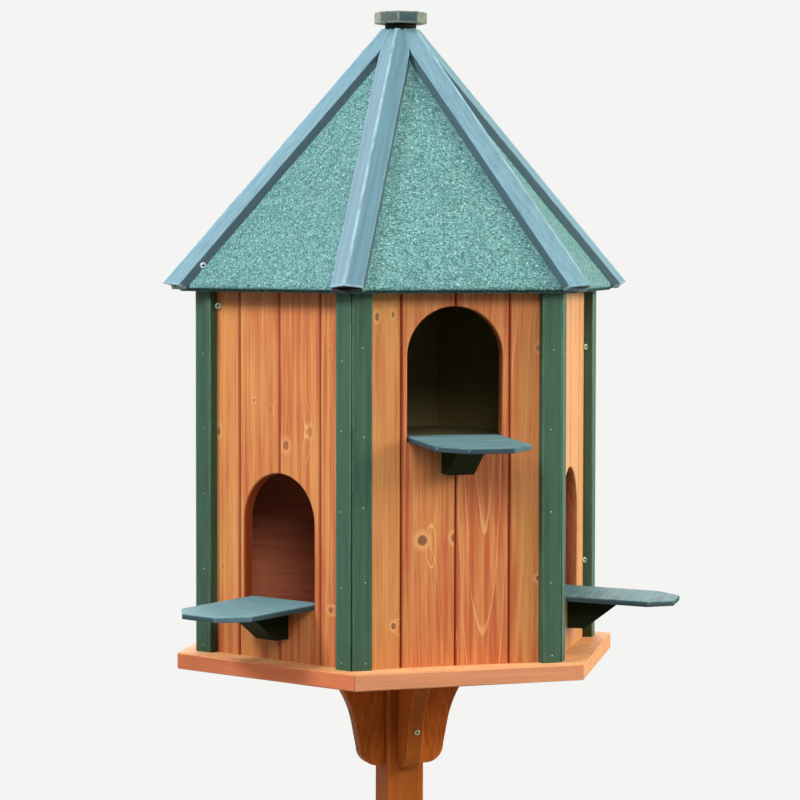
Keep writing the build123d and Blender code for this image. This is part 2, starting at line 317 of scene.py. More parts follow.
# ---------------------------------------------------------------- material nodes
def add_node(material, kind, inputs=None, stops=None, **settings):
    """Add one node: settings are its properties, stops its colours by place, and inputs its values.

    An input may also be a socket, or a node, which gives its first live output."""
    tree = material.node_tree
    node = tree.nodes.new("ShaderNode" + kind)
    for key, value in settings.items():
        setattr(node, key, value)
    if stops:
        elements = node.color_ramp.elements
        elements[0].position, elements[1].position = stops[0][0], stops[-1][0]
        for place, _ in stops[1:-1]:
            elements.new(place)
        for element, (_, value) in zip(elements, stops):
            element.color = (*value, 1.0) if hasattr(value, "__len__") else (value, value, value, 1.0)
    for key, value in (inputs or {}).items():
        if isinstance(value, bpy.types.Node):
            value = next(output for output in value.outputs if output.enabled)
        if isinstance(value, bpy.types.NodeSocket):
            tree.links.new(value, node.inputs[key])
        elif node.inputs[key].type == "RGBA":
            node.inputs[key].default_value = (*value, 1.0)
        else:
            node.inputs[key].default_value = value
    return node


def new_material(name, roughness, **values):
    """An empty material: returns it and its shader, with the values that are the same all over."""
    material = bpy.data.materials.new(name)
    material.use_nodes = True
    shader = material.node_tree.nodes["Principled BSDF"]
    shader.inputs["Roughness"].default_value = roughness
    for key, value in values.items():
        shader.inputs[key.replace("_", " ")].default_value = value
    return material, shader


def wire(material, shader, **outputs):
    """Lead outputs to the shader's inputs, with _ for each space in an input's name."""
    for key, output in outputs.items():
        material.node_tree.links.new(output, shader.inputs[key.replace("_", " ")])
    return material


def shade(value, factor):
    """A linear colour made lighter or darker by one factor."""
    return tuple(min(1.0, channel * factor) for channel in value)


def shown_rays(node):
    """1 for the rays by which a surface is seen, straight, in a gloss or through glass, and 0 for light."""
    rays = node("LightPath").outputs
    seen = node("Math", {0: rays["Is Camera Ray"], 1: rays["Is Glossy Ray"]}, operation="MAXIMUM")
    return node("Math", {0: seen, 1: rays["Is Transmission Ray"]}, operation="MAXIMUM")


def stained_pine(
    name, body, deep, pale, line, dark, worn, roughness=0.5, gloss=0.4, ring_mm=4.6, lines=0.7, patch_mm=24.0,
    knots=0, knot=None, inside_shade_colour=None, crisp=1.0, streaky=0.65,
):
    """Planed pine under a stain that lets the grain show.

    The growth rings are circles round the heart of the log, (x, y) of the grain attribute, bent by a
    slow noise and pushed aside round each knot.  The hard end of each ring takes less stain and shows
    as a thin line.  The stain attribute darkens joints and cut ends, and near 2 it gives the inside
    colour, a painted shade for the dim inside; wear rubs arrises, and in places carries painted light.
    Crisp above 1 draws each line in to the hard end of its ring, and streaky is how far the pale
    streaks show.  A colour given as a number is the body colour made so much lighter or darker."""
    deep, pale, line, dark, worn = (
        shade(body, given) if isinstance(given, float) else given for given in (deep, pale, line, dark, worn)
    )
    material, shader = new_material(name, roughness, Specular_IOR_Level=gloss)
    node = partial(add_node, material)
    mean = (0.5, 0.5, 0.5)              # of a noise
    grain = node("Attribute", attribute_name="grain").outputs["Vector"]
    tone, wear, stain = (
        node("Attribute", attribute_name=key).outputs["Fac"] for key in ("tone", "wear", "stain")
    )
    # Millimetres in the log, with the fibre's length drawn in by 6 for patches and by 36 for fibres, so
    # that the scale of a noise is 1 over its size in millimetres.
    drawn = node("VectorMath", {0: grain, 1: (1000.0, 1000.0, 1000.0 / 6.0)}, operation="MULTIPLY")
    long = node("VectorMath", {0: grain, 1: (1000.0, 1000.0, 1000.0 / 36.0)}, operation="MULTIPLY")

    # The rings, counted out from the heart, waver by a few millimetres.
    slow = node("TexNoise", {"Vector": drawn, "Scale": 1.0 / 55.0, "Detail": 2.0}).outputs["Color"]
    bend = node("VectorMath", {0: slow, 1: mean}, operation="SUBTRACT")
    bent = node("VectorMath", {0: bend, 1: (0.007, 0.007, 0.0), 2: grain}, operation="MULTIPLY_ADD")
    level = node("VectorMath", {0: bent, 1: (1.0, 1.0, 0.0)}, operation="MULTIPLY")
    radius = node("VectorMath", {0: level}, operation="LENGTH")
    rings = node("Math", {0: radius, 1: 1000.0 / ring_mm}, operation="MULTIPLY")

    core, halo, nearest = 0.0, 0.0, 9.0
    if knots:
        rough_edge = node("TexNoise", {"Vector": grain, "Scale": 160.0, "Detail": 2.0}).outputs["Color"]
        rough_edge = node("VectorMath", {0: rough_edge, 1: mean}, operation="SUBTRACT")
    for attribute in ("knot_a", "knot_b", "knot_c")[:knots]:
        place = node("Attribute", attribute_name=attribute).outputs["Vector"]
        depth = node("SeparateXYZ", {0: place}).outputs["Y"]
        # Round a knot of half width 1 the rings swell by 2.2 exp(-0.2 r^2), and r grows slower along it.
        pulled = node("VectorMath", {0: place, 1: (1.0, 0.0, 0.42)}, operation="MULTIPLY")
        pulled = node("VectorMath", {0: pulled, 1: pulled}, operation="DOT_PRODUCT")
        swell = node("Math", {0: pulled, 1: -0.2}, operation="MULTIPLY")
        swell = node("Math", {0: swell}, operation="EXPONENT")
        rings = node("Math", {0: swell, 1: 2.2, 2: rings}, operation="MULTIPLY_ADD")
        # Its edge is uneven by up to a sixth of its half width.
        place = node("VectorMath", {0: rough_edge, 1: (0.35, 0.35, 0.35), 2: place}, operation="MULTIPLY_ADD")
        place = node("VectorMath", {0: place, 1: (1.0, 0.0, 1.0)}, operation="MULTIPLY")
        away = node("VectorMath", {0: place}, operation="LENGTH")
        quarter = node("Math", {0: away, 1: 0.25}, operation="MULTIPLY")
        heart = node("ValToRGB", {"Fac": quarter}, stops=[(0.0, 1.0), (0.2, 0.95), (0.29, 0.0)])
        heart = node("Math", {0: heart, 1: depth}, operation="MULTIPLY")
        core = node("Math", {0: core, 1: heart}, operation="MAXIMUM")
        # A knot with no dark heart is a ring of grain that closes on itself.
        rim = node("ValToRGB", {"Fac": quarter}, stops=[(0.22, 0.0), (0.25, 0.75), (0.285, 0.0)])
        closed = node("Math", {0: depth, 1: -8.0, 2: 1.1}, operation="MULTIPLY_ADD", use_clamp=True)
        rim = node("Math", {0: rim, 1: closed}, operation="MULTIPLY")
        glow = node("ValToRGB", {"Fac": quarter}, stops=[(0.2, 0.0), (0.34, 0.6), (0.62, 0.0)])
        glow = node("Math", {0: glow, 1: depth}, operation="MULTIPLY")
        ring = node("Math", {0: rim, 1: glow}, operation="MAXIMUM")
        halo = node("Math", {0: halo, 1: ring}, operation="MAXIMUM")
        nearest = node("Math", {0: nearest, 1: away}, operation="MINIMUM")

    # One hard line to a ring, of a strength drawn for each ring of each board, and faint in places.
    part = node("Math", {0: rings}, operation="FRACT")
    part = node("Math", {0: part, 1: crisp, 2: 1.0 - crisp}, operation="MULTIPLY_ADD")
    line_profile = [(0.0, 0.0), (0.76, 0.05), (0.87, 0.9), (0.94, 1.0), (1.0, 0.0)]
    hard = node("ValToRGB", {"Fac": part}, stops=line_profile)
    number = node("Math", {0: rings}, operation="FLOOR")
    number = node("Math", {0: tone, 1: 57.0, 2: number}, operation="MULTIPLY_ADD")
    strength = node("TexWhiteNoise", {"W": number}, noise_dimensions="1D").outputs["Value"]
    strength = node("ValToRGB", {"Fac": strength}, stops=[(0.0, 0.12), (0.55, 0.6), (1.0, 1.0)])
    faint = node("TexNoise", {"Vector": drawn, "Scale": 1.0 / 20.0, "Detail": 1.0}).outputs["Fac"]
    faint = node("ValToRGB", {"Fac": faint}, stops=[(0.3, 0.5), (0.62, 1.0)])
    ring_lines = hard
    for share in (strength, faint, lines):
        ring_lines = node("Math", {0: ring_lines, 1: share}, operation="MULTIPLY")

    # Between them lie patches that took more stain, more of them the lower the tone, and pale streaks.
    patches = node("TexNoise", {"Vector": drawn, "Scale": 1.0 / patch_mm, "Detail": 2.0}).outputs["Fac"]
    patches = node("ValToRGB", {"Fac": patches}, stops=[(0.34, 0.0), (0.66, 1.0)])
    lean = node("Math", {0: tone, 1: -0.9, 2: 0.55}, operation="MULTIPLY_ADD")
    patches = node("Math", {0: patches, 1: 0.75, 2: lean}, operation="MULTIPLY_ADD", use_clamp=True)
    streaks = node("TexNoise", {"Vector": long, "Scale": 1.0 / 6.0, "Detail": 3.0}).outputs["Fac"]
    streaks = node("ValToRGB", {"Fac": streaks}, stops=[(0.40, 0.0), (0.66, streaky)])
    fibres = node("TexNoise", {"Vector": long, "Scale": 1.0 / 1.5, "Detail": 3.0, "Roughness": 0.6})
    fibres = fibres.outputs["Fac"]
    lights = node("ValToRGB", {"Fac": fibres}, stops=[(0.25, 0.88), (0.75, 1.0)])

    surface = node("Mix", {0: patches, 6: body, 7: deep}, data_type="RGBA")
    surface = node("Mix", {0: streaks, 6: surface, 7: pale}, data_type="RGBA")
    surface = node("Mix", {0: ring_lines, 6: surface, 7: line}, data_type="RGBA")
    surface = node("Mix", {0: 1.0, 6: surface, 7: lights}, data_type="RGBA", blend_type="MULTIPLY")
    if knots:
        surface = node("Mix", {0: halo, 6: surface, 7: line}, data_type="RGBA")
        from_heart = [(0.0, shade(knot, 1.8)), (0.5, shade(knot, 1.5)), (0.85, knot)]
        heartwood = node("ValToRGB", {"Fac": nearest}, stops=from_heart)
        surface = node("Mix", {0: core, 6: surface, 7: heartwood}, data_type="RGBA")
    surface = node("Mix", {0: stain, 6: surface, 7: dark}, data_type="RGBA")
    # Faces with a stain of 2 take the inside colour, a painted shade for the dim inside of the boxes.
    if inside_shade_colour:
        # 12 s - 23, held between 0 and 1, is 0 for any stain up to 1.9 and 1 from 2.
        inside_shaded = node("Math", {0: stain, 1: 12.0, 2: -23.0}, operation="MULTIPLY_ADD", use_clamp=True)
        surface = node("Mix", {0: inside_shaded, 6: surface, 7: inside_shade_colour}, data_type="RGBA")
    rub = node("TexNoise", {"Vector": drawn, "Scale": 1.0 / 4.0, "Detail": 3.0, "Roughness": 0.65})
    rub = node("ValToRGB", {"Fac": rub.outputs["Fac"]}, stops=[(0.36, 0.2), (0.6, 1.0)])
    rub = node("Math", {0: rub, 1: wear}, operation="MULTIPLY")
    surface = node("Mix", {0: rub, 6: surface, 7: worn}, data_type="RGBA")

    height = node("Math", {0: hard, 1: 0.4, 2: fibres}, operation="MULTIPLY_ADD")
    bump = node("Bump", {"Height": height, "Strength": 0.35, "Distance": 0.0004})
    sheen = node("ValToRGB", {"Fac": fibres}, stops=[(0.2, roughness + 0.08), (0.8, roughness - 0.06)])
    looks = {"Base_Color": surface.outputs[2], "Roughness": sheen.outputs[0], "Normal": bump.outputs[0]}
    return wire(material, shader, **looks)


def mineral_felt(settings):
    """Bitumen roofing felt, pressed with crushed teal slate: a matt skin of grains with dark gaps."""
    material, shader = new_material("slate_grained_felt", 0.92, Specular_IOR_Level=0.3)
    node = partial(add_node, material)
    place = node("TexCoord").outputs["Object"]
    wear = node("Attribute", attribute_name="wear").outputs["Fac"]
    grains = node("TexVoronoi", {"Vector": place, "Scale": 1.0 / settings.grain_size}).outputs
    value = node("SeparateColor", {0: grains["Color"]}).outputs["Red"]
    surface = node(
        "ValToRGB",
        {"Fac": value},
        stops=[
            (0.0, shade(settings.felt_dark, 0.75)), (0.24, settings.felt_dark), (0.5, settings.felt),
            (0.8, settings.felt_light), (0.98, settings.felt_light), (0.988, settings.felt_pale),
            (1.0, settings.felt_pale),
        ],
    )
    # Clouds of 7 mm and patches of 90 mm darken it a little.
    for scale, coarse, darkest in ((150.0, 0.7, 0.80), (11.0, 0.6, 0.92)):
        cloudy = node("TexNoise", {"Vector": place, "Scale": scale, "Detail": 3.0, "Roughness": coarse})
        cloudy = node("ValToRGB", {"Fac": cloudy.outputs["Fac"]}, stops=[(0.3, darkest), (0.7, 1.0)])
        surface = node("Mix", {0: 1.0, 6: surface, 7: cloudy}, data_type="RGBA", blend_type="MULTIPLY")
    # The bitumen shows between the grains, in a few scuffs of 17 mm, and where the felt is rolled under,
    # where its dark colour is partly bare bitumen and partly a painted shade.
    gap = node("ValToRGB", {"Fac": grains["Distance"]}, stops=[(0.55, 0.0), (0.9, 0.7)])
    scuffs = node("TexNoise", {"Vector": place, "Scale": 60.0, "Detail": 4.0, "Roughness": 0.65})
    scuffs = node("ValToRGB", {"Fac": scuffs.outputs["Fac"]}, stops=[(0.73, 0.0), (0.77, 0.5)])
    rolled_and_shaded = node("Math", {0: wear, 1: 0.9}, operation="MULTIPLY")
    for inside_shaded in (gap, scuffs, rolled_and_shaded):
        surface = node("Mix", {0: inside_shaded, 6: surface, 7: settings.bitumen}, data_type="RGBA")
    height = node("Math", {0: value, 1: 0.6, 2: grains["Distance"]}, operation="MULTIPLY_ADD")
    bump = node("Bump", {"Height": height, "Strength": 0.5, "Distance": 0.0005}, invert=True)
    return wire(material, shader, Base_Color=surface.outputs[2], Normal=bump.outputs[0])


def plated_steel(name, tint, dark, roughness):
    """Steel fixings, cold headed and zinc plated: a fine uneven sheen, and a painted shade, dull and dark, in
    the recess.
    """
    material, shader = new_material(name, roughness, Metallic=0.7)
    node = partial(add_node, material)
    place = node("TexCoord").outputs["Object"]
    recess = node("Attribute", attribute_name="stain").outputs["Fac"]
    mottle = node("TexNoise", {"Vector": place, "Scale": 900.0, "Detail": 3.0, "Roughness": 0.6})
    mottle = mottle.outputs["Fac"]
    surface = node("ValToRGB", {"Fac": mottle}, stops=[(0.3, shade(tint, 0.75)), (0.7, tint)])
    surface = node("Mix", {0: recess, 6: surface, 7: dark}, data_type="RGBA")
    sheen = node("ValToRGB", {"Fac": mottle}, stops=[(0.3, roughness + 0.1), (0.7, roughness - 0.05)])
    return wire(material, shader, Base_Color=surface.outputs[2], Roughness=sheen.outputs[0])


# ---------------------------------------------------------------- shapes
class Shape:
    """Points and faces of one solid, with what its material reads at each point."""

    def __init__(self, points, faces, smooth, grain, wear, tone, local=None):
        self.points = points
        self.faces = faces
        self.smooth = smooth
        self.grain = grain
        self.wear = wear
        self.stain = np.zeros(len(points))
        self.tone = np.full(len(points), tone)
        self.knots = None
        self.local = points if local is None else local


def local_to_world(across, up, out, turn):
    """World points of a piece that faces one way: across it to the right, up, and out from the axis."""
    across, up, out = np.asarray(across), np.asarray(up), np.asarray(out)
    along = np.array((-sin(radians(turn)), cos(radians(turn)), 0.0))
    outward = np.array((cos(radians(turn)), sin(radians(turn)), 0.0))
    upward = np.array((0.0, 0.0, 1.0))
    return across[..., None] * along + out[..., None] * outward + up[..., None] * upward


def facing(turn, order):
    """How a member that faces one way lies: order tells which of its a, b and c go across, up and out."""
    across, up, out = ("abc".index(letter) for letter in order)
    return lambda *place: local_to_world(place[across], place[up], place[out], turn)


def on_axis(a, b, c):
    """World points of a member round the axis of the dovecote: a and b are level and c is the height."""
    return np.stack((a, b, c), -1)


def in_log(x, y, z, seed, heart=None):
    """Where points of a timber lay in their log, whose heart runs along z.

    x is across the face, y out of it and z along the fibre.  The heart lies behind the face, and a
    small slope between the two draws the rings out into arches."""
    # All four are drawn even where the heart is given, so that the shift stays the seed's own.
    chance = np.random.default_rng(seed)
    aside = chance.uniform(-0.06, 0.06)
    behind = chance.uniform(0.012, 0.07)
    slope = chance.uniform(-0.03, 0.03)
    if heart is not None:
        aside, behind, slope = heart
    shift = chance.uniform(0.0, 9.0)
    return np.stack((x - aside, y + behind + slope * z, z + shift), -1)


def facing_out(points, quads, caps):
    """The faces as lists, turned round if the volume that they enclose comes out negative."""
    p = points[quads]
    volume = np.einsum("ij,ij->", p[:, 0], np.cross(p[:, 1], p[:, 2]) + np.cross(p[:, 2], p[:, 3]))
    for cap in caps:
        c = points[cap]
        volume += np.einsum("ij,ij->", np.broadcast_to(c[0], c[1:-1].shape), np.cross(c[1:-1], c[2:]))
    faces = quads.tolist() + [list(cap) for cap in caps]
    return [face[::-1] for face in faces] if volume < 0.0 else faces


def arc(radius, turns, x=0.0, y=0.0):
    """Points of a circle round (x, y), at angles in radians."""
    return np.stack((x + radius * np.cos(turns), y + radius * np.sin(turns)), 1)


def regular(sides, flat, turn=0.0):
    """The corners of a regular outline whose flat sides stand so far from its middle.

    The first corner lies at the turn, in degrees from +X."""
    return arc(flat / cos(np.pi / sides), np.radians(np.arange(sides) * (360.0 / sides) + turn))


WEAR_FADE = 0.0016          # over which the wear of an arris dies out
SAWN_ARRIS = 0.001          # an arris that was only knocked off


def rounded(corners, radii, steps=4, fade=WEAR_FADE):
    """A closed outline whose corners are arcs: its points, their wear, and which sides are curved.

    An arc's points are its centre plus its radius, turned evenly from one side's touching point to
    the other's.  Wear is 1 on the arcs and falls to 0 on the flat sides within the fade."""
    corners = np.asarray(corners, float)
    radii = np.broadcast_to(np.asarray(radii, float), len(corners))[:, None]
    back = np.roll(corners, 1, 0) - corners
    ahead = np.roll(corners, -1, 0) - corners
    back /= np.linalg.norm(back, axis=1, keepdims=True)
    ahead /= np.linalg.norm(ahead, axis=1, keepdims=True)
    half = 0.5 * np.arccos(np.clip((back * ahead).sum(1, keepdims=True), -1.0, 1.0))
    touch = radii / np.tan(half)
    middle = back + ahead
    middle /= np.maximum(np.linalg.norm(middle, axis=1, keepdims=True), 1e-9)
    centre = corners + middle * radii / np.sin(half)
    swing = np.pi - 2.0 * half
    share = np.linspace(0.0, 1.0, steps + 1)
    spread = np.where(radii > 0.0, np.sin(swing), 1.0)
    first = (corners + back * touch - centre)[:, None] * (np.sin((1.0 - share) * swing) / spread)[..., None]
    last = (corners + ahead * touch - centre)[:, None] * (np.sin(share * swing) / spread)[..., None]
    arcs = centre[:, None] + first + last
    before = (corners + back * (touch + fade))[:, None]
    after = (corners + ahead * (touch + fade))[:, None]
    points = np.concatenate((before, arcs, after), 1)
    points[radii[:, 0] == 0.0] = corners[radii[:, 0] == 0.0][:, None]
    keep = np.broadcast_to(radii > 0.0, points.shape[:2]).copy()
    keep[:, 1] = True
    wear = np.zeros(points.shape[:2])
    wear[:, 1:-1] = radii > 0.0
    curved = np.zeros(points.shape[:2], bool)
    curved[:, 1:-2] = radii > 0.0
    return points[keep], wear[keep], curved[keep]


def member(outline, near, far, lay, log, tone, end_arris=0.0, stations=(), end_wear=1.0, end_stain=0.0):
    """A timber: an outline (a, b) carried along c from near(a, b) to far(a, b), both ends closed.

    A near or far that is a number is an end square to the timber.  At an eased end the outline shrinks
    by r(1 - sin t) while c comes in by r(1 - cos t), for t from 0 to a quarter turn.  lay(a, b, c)
    gives the world points and log(a, b, c) those in the log.  The cut ends take the end stain, and
    their arrises the end wear."""
    points, wear, curved = outline
    ahead = np.roll(points, -1, 0) - points
    ahead /= np.linalg.norm(ahead, axis=1, keepdims=True)
    left = np.stack((-ahead[:, 1], ahead[:, 0]), 1)
    both = left + np.roll(left, 1, 0)
    inward = 2.0 * both / (both * both).sum(1, keepdims=True)
    x, y = points.T
    if (x * np.roll(y, -1) - y * np.roll(x, -1)).sum() < 0.0:
        inward = -inward
    turn = np.linspace(0.0, np.pi / 2.0, 4) if end_arris else np.array([np.pi / 2.0])
    inset = end_arris * (1.0 - np.sin(turn))
    setback = end_arris * (1.0 - np.cos(turn))
    ends = points + inset[:, None, None] * inward
    across, out = ends[..., 0], ends[..., 1]
    c_near, c_far = (end(across, out) if callable(end) else np.full(out.shape, end) for end in (near, far))
    c_near = c_near + setback[:, None]
    c_far = c_far - setback[:, None]
    rub_and_light = np.full((len(turn), len(points)), end_wear) if end_arris else wear[None]
    rub_and_light[0] *= 1.0 - end_stain
    shares = np.array(stations, float)
    inner = [c_near[-1] + share * (c_far[-1] - c_near[-1]) for share in shares]
    if end_arris:
        inner = [c_near[-1] + WEAR_FADE, *inner, c_far[-1] - WEAR_FADE]
    middle = np.array(inner).reshape(len(inner), len(points))
    a = np.concatenate((across, np.broadcast_to(points[:, 0], middle.shape), across[::-1]))
    b = np.concatenate((out, np.broadcast_to(points[:, 1], middle.shape), out[::-1]))
    c = np.concatenate((c_near, middle, c_far[::-1]))
    worn = np.concatenate((rub_and_light, np.broadcast_to(wear, middle.shape), rub_and_light[::-1]))
    rings, count = c.shape
    number = np.arange(rings * count).reshape(rings, count)
    beside = np.roll(number, -1, 1)
    quads = np.stack((number[:-1], beside[:-1], beside[1:], number[1:]), -1).reshape(-1, 4)
    eased = np.zeros((rings - 1, 1), bool)
    eased[: len(turn) - 1] = True
    eased[rings - len(turn):] = True
    smooth = np.concatenate(((eased | curved[None]).ravel(), [False, False]))
    world = lay(a, b, c).reshape(-1, 3)
    faces = facing_out(world, quads, [number[0][::-1], number[-1]])
    local = np.stack((a, b, c), -1).reshape(-1, 3)
    shape = Shape(world, faces, smooth, log(a, b, c).reshape(-1, 3), worn.ravel(), tone, local)
    shape.stain[:count] = end_stain
    shape.stain[-count:] = end_stain
    return shape


def build(name, shapes, material, slot, *nodes):
    """One object from its shapes: it rides on the frame and stands for its CAD nodes, which it hides; the
    slot is not used.
    """
    points = np.concatenate([shape.points for shape in shapes])
    starts = np.cumsum([0] + [len(shape.points) for shape in shapes[:-1]])
    faces = [
        [index + start for index in face] for shape, start in zip(shapes, starts) for face in shape.faces
    ]
    mesh = bpy.data.meshes.new(name)
    mesh.from_pydata(points.tolist(), [], faces)
    mesh.polygons.foreach_set("use_smooth", np.concatenate([shape.smooth for shape in shapes]))
    keys = ("grain", "tone", "wear", "stain")
    values = {key: np.concatenate([getattr(shape, key) for shape in shapes]) for key in keys}
    if shapes[0].knots is not None:
        knots = np.concatenate([shape.knots for shape in shapes])
        values |= {"knot_a": knots[:, 0], "knot_b": knots[:, 1], "knot_c": knots[:, 2]}
    for key, value in values.items():
        kind, field = ("FLOAT_VECTOR", "vector") if value.ndim == 2 else ("FLOAT", "value")
        mesh.attributes.new(key, kind, "POINT").data.foreach_set(field, value.astype(np.float32).ravel())
    work = bmesh.new()
    work.from_mesh(mesh)
    bmesh.ops.remove_doubles(work, verts=work.verts, dist=1e-6)
    work.to_mesh(mesh)
    work.free()
    mesh.materials.append(material)
    piece = bpy.data.objects.new(name, mesh)
    bpy.context.scene.collection.objects.link(piece)
    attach(piece, "root")
    if nodes:
        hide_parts(*nodes)


# ---------------------------------------------------------------- boards
# Knots that show on the boards: face, board -> (across the face, above the base, half width, half
# height, darkness) in metres.  A darkness of 0 is a loop of one pale ring with no knot in it.
KNOTS = {
    ("front", 0): (
        (-0.0797, 0.0525, 0.0030, 0.0042, 0.8), (-0.1015, 0.4355, 0.0024, 0.0050, 0.8),
        (-0.0808, 0.4380, 0.0022, 0.0038, 0.7),
    ),
    ("front", 1): (
        (-0.0425, 0.158, 0.0060, 0.0062, 0.9), (-0.0310, 0.150, 0.0062, 0.0260, 0.0),
        (-0.0005, 0.160, 0.0040, 0.0054, 0.85),
    ),
    ("front", 3): ((0.1125, 0.106, 0.0045, 0.0034, 0.85), (0.110, 0.395, 0.0030, 0.0040, 0.5)),
    ("front_left", 0): ((-0.1075, 0.285, 0.0030, 0.0056, 0.7), (-0.100, 0.112, 0.0030, 0.0038, 0.25)),
    ("front_left", 1): ((-0.0437, 0.327, 0.0017, 0.0021, 0.8), (-0.0147, 0.316, 0.0052, 0.0040, 0.16)),
    ("front_left", 2): ((0.0130, 0.272, 0.0046, 0.0058, 0.6), (0.0553, 0.291, 0.0042, 0.0062, 0.34)),
    ("front_left", 3): ((0.0893, 0.393, 0.0022, 0.0040, 0.22), (0.091, 0.071, 0.0036, 0.0038, 0.7)),
    ("front_right", 3): ((0.090, 0.195, 0.0035, 0.0045, 0.5),),
}
# Where the heart of the log lay: face, board -> (across the face, behind it, slope) in metres.
HEARTS = {
    ("front", 0): (-0.150, 0.020, 0.006), ("front", 1): (-0.105, 0.034, 0.012),
    ("front", 2): (0.037, 0.0507, -0.028), ("front", 3): (0.060, 0.060, -0.020),
    ("front_left", 0): (-0.190, 0.030, 0.006), ("front_left", 1): (-0.110, 0.018, 0.004),
    ("front_left", 2): (0.105, 0.024, 0.006),
}
# How little deep stain a board took: face, board -> its tone. The front right boards are set pale, partly as
# painted light from the right.
TONES = {
    ("front", 0): 0.68, ("front", 1): 0.16, ("front", 2): -0.35, ("front", 3): 0.42, ("front_left", 0): 0.5,
    ("front_left", 1): 0.30, ("front_left", 2): 0.16, ("front_left", 3): 0.06, ("front_right", 0): 1.05,
    ("front_right", 1): 1.05, ("front_right", 2): 0.95, ("front_right", 3): 1.05,
}
# How far the joints of a wall lie off its middle.
BOARD_SHIFT = {"front": 0.0008, "front_left": 0.0011}
INSIDE_SHADE = 2.0                     # stain at which a face takes the inside colour, a painted shade
JOINT_DIRT, CHAMFER_DIRT = 0.9, 0.5


def matched_board(face, board, first, last, settings):
    """One matched board, cut round the opening if its wall has one: two grids joined round their rims.

    The columns stand at the joint, its chamfer, and in the opening at r cos t for even steps of t.
    The rows are the foot, the sill, the arch's edge, that edge eased outwards, and the roof: over the
    opening the edge stands at the spring plus the root of r squared less x squared."""
    turn = FACES[face]
    half_wall = WALL_OUT * FACE_SLOPE
    corner_first = first < SAME - half_wall
    corner_last = last > half_wall - SAME
    opened = face in SILLS
    radius = HALF_OPENING if opened else 0.0
    eased = radius + settings.arris
    joint = settings.joint_half
    chamfer = joint + settings.groove_width
    columns = [first, last]
    if not corner_first:
        columns += [first + joint, first + joint + HAIR, first + chamfer, first + 1.5 * chamfer]
    if not corner_last:
        columns += [last - joint, last - joint - HAIR, last - chamfer, last - 1.5 * chamfer]
    arch = np.concatenate((radius * np.cos(np.linspace(0.0, np.pi, 61)), (-eased, eased)))
    arch = arch[(arch > first + chamfer + SAME) & (arch < last - chamfer - SAME) & opened]
    x = np.unique(np.concatenate((columns, arch)))
    sill = SILLS.get(face, LOWER_SILL)
    spring = sill + OPENING_HEIGHT - radius
    edge = spring + np.sqrt(np.maximum(radius**2 - x**2, 0.0))
    edge_eased = spring + np.sqrt(np.maximum(eased**2 - x**2, 0.0))

    # In from the edge the face drops to the chamfer's foot and then to the joint's, and stain gathers there.
    depth = np.zeros(len(x))
    dirt = np.zeros(len(x))
    for inset, plain in ((x - first, corner_first), (last - x, corner_last)):
        if plain:
            continue
        fall = np.clip(1.0 - (inset - joint) / settings.groove_width, 0, 1)
        depth = np.maximum(depth, settings.groove_depth * fall)
        depth = np.where(inset < joint + 0.5 * HAIR, settings.joint_depth, depth)
        dirt = np.maximum(dirt, np.clip(1.0 - (inset - chamfer) / (0.5 * chamfer), 0, 1) * CHAMFER_DIRT)
        dirt = np.where(inset < joint + 2.0 * HAIR, JOINT_DIRT, dirt)
    grid = (5, len(x))
    across = np.broadcast_to(x, grid)
    out = np.broadcast_to(WALL_OUT - depth, grid).copy()
    on_edge = np.zeros(grid, bool)
    on_edge[2] = (np.abs(x) < radius + 1e-6) & opened
    on_edge[1] = (np.abs(np.abs(x) - radius) < 1e-6) & opened
    out[on_edge] -= settings.arris * 0.8
    foot = np.full(len(x), BASE_TOP)
    up = np.stack((foot, np.full(len(x), sill), edge, edge_eased, underside_height(out[4])))
    behind = WALL_IN * FACE_SLOPE
    inner_out = np.full(grid, WALL_IN)
    inner_across = np.clip(across, -behind, behind)
    inner_up = up.copy()
    inner_up[4] = underside_height(WALL_IN)

    middle = 0.5 * (x[1:] + x[:-1])
    kept = np.ones((4, len(x) - 1), bool)
    kept[1] = (np.abs(middle) > radius) | (not opened)
    number = np.arange(across.size).reshape(grid)
    back = number + number.size
    cells = np.stack((number[:-1, :-1], number[:-1, 1:], number[1:, 1:], number[1:, :-1]), -1)
    rear = np.stack((back[:-1, :-1], back[1:, :-1], back[1:, 1:], back[:-1, 1:]), -1)
    level = np.diff(np.pad(kept, ((1, 1), (0, 0))).astype(int), axis=0)
    sheer = np.diff(np.pad(kept, ((0, 0), (1, 1))).astype(int), axis=1)
    down = np.stack((number[:, :-1], back[:, :-1], back[:, 1:], number[:, 1:]), -1)
    left = np.stack((number[:-1], number[1:], back[1:], back[:-1]), -1)
    quads = np.concatenate(
        (
            cells[kept], rear[kept], down[level == 1], down[level == -1][:, ::-1], left[sheer == 1],
            left[sheer == -1][:, ::-1],
        )
    )
    world = np.concatenate(
        (
            local_to_world(across, up, out, turn).reshape(-1, 3),
            local_to_world(inner_across, inner_up, inner_out, turn).reshape(-1, 3),
        )
    )
    x_all = np.concatenate((across.ravel(), inner_across.ravel()))
    up_all = np.concatenate((up.ravel(), inner_up.ravel())) - BASE_TOP
    out_all = np.concatenate((out.ravel(), inner_out.ravel())) - WALL_OUT
    seed = 10 * list(FACES).index(face) + board
    grain = in_log(x_all, out_all, up_all, seed, HEARTS.get((face, board)))
    chance = np.random.default_rng(seed + 500)
    tone = TONES.get((face, board), chance.uniform(0.3, 1.0))
    # On the other walls up to two knots lie by chance, one low and one high.
    wild = [
        (
            chance.uniform(first + 0.01, last - 0.01), chance.uniform(*span), 0.004, 0.005,
            chance.uniform(0.2, 0.9),
        )
        for span in ((0.03, 0.25), (0.27, 0.46))
    ]
    wild = wild[: chance.integers(0, 3)] if face not in ("front", "front_left") else ()
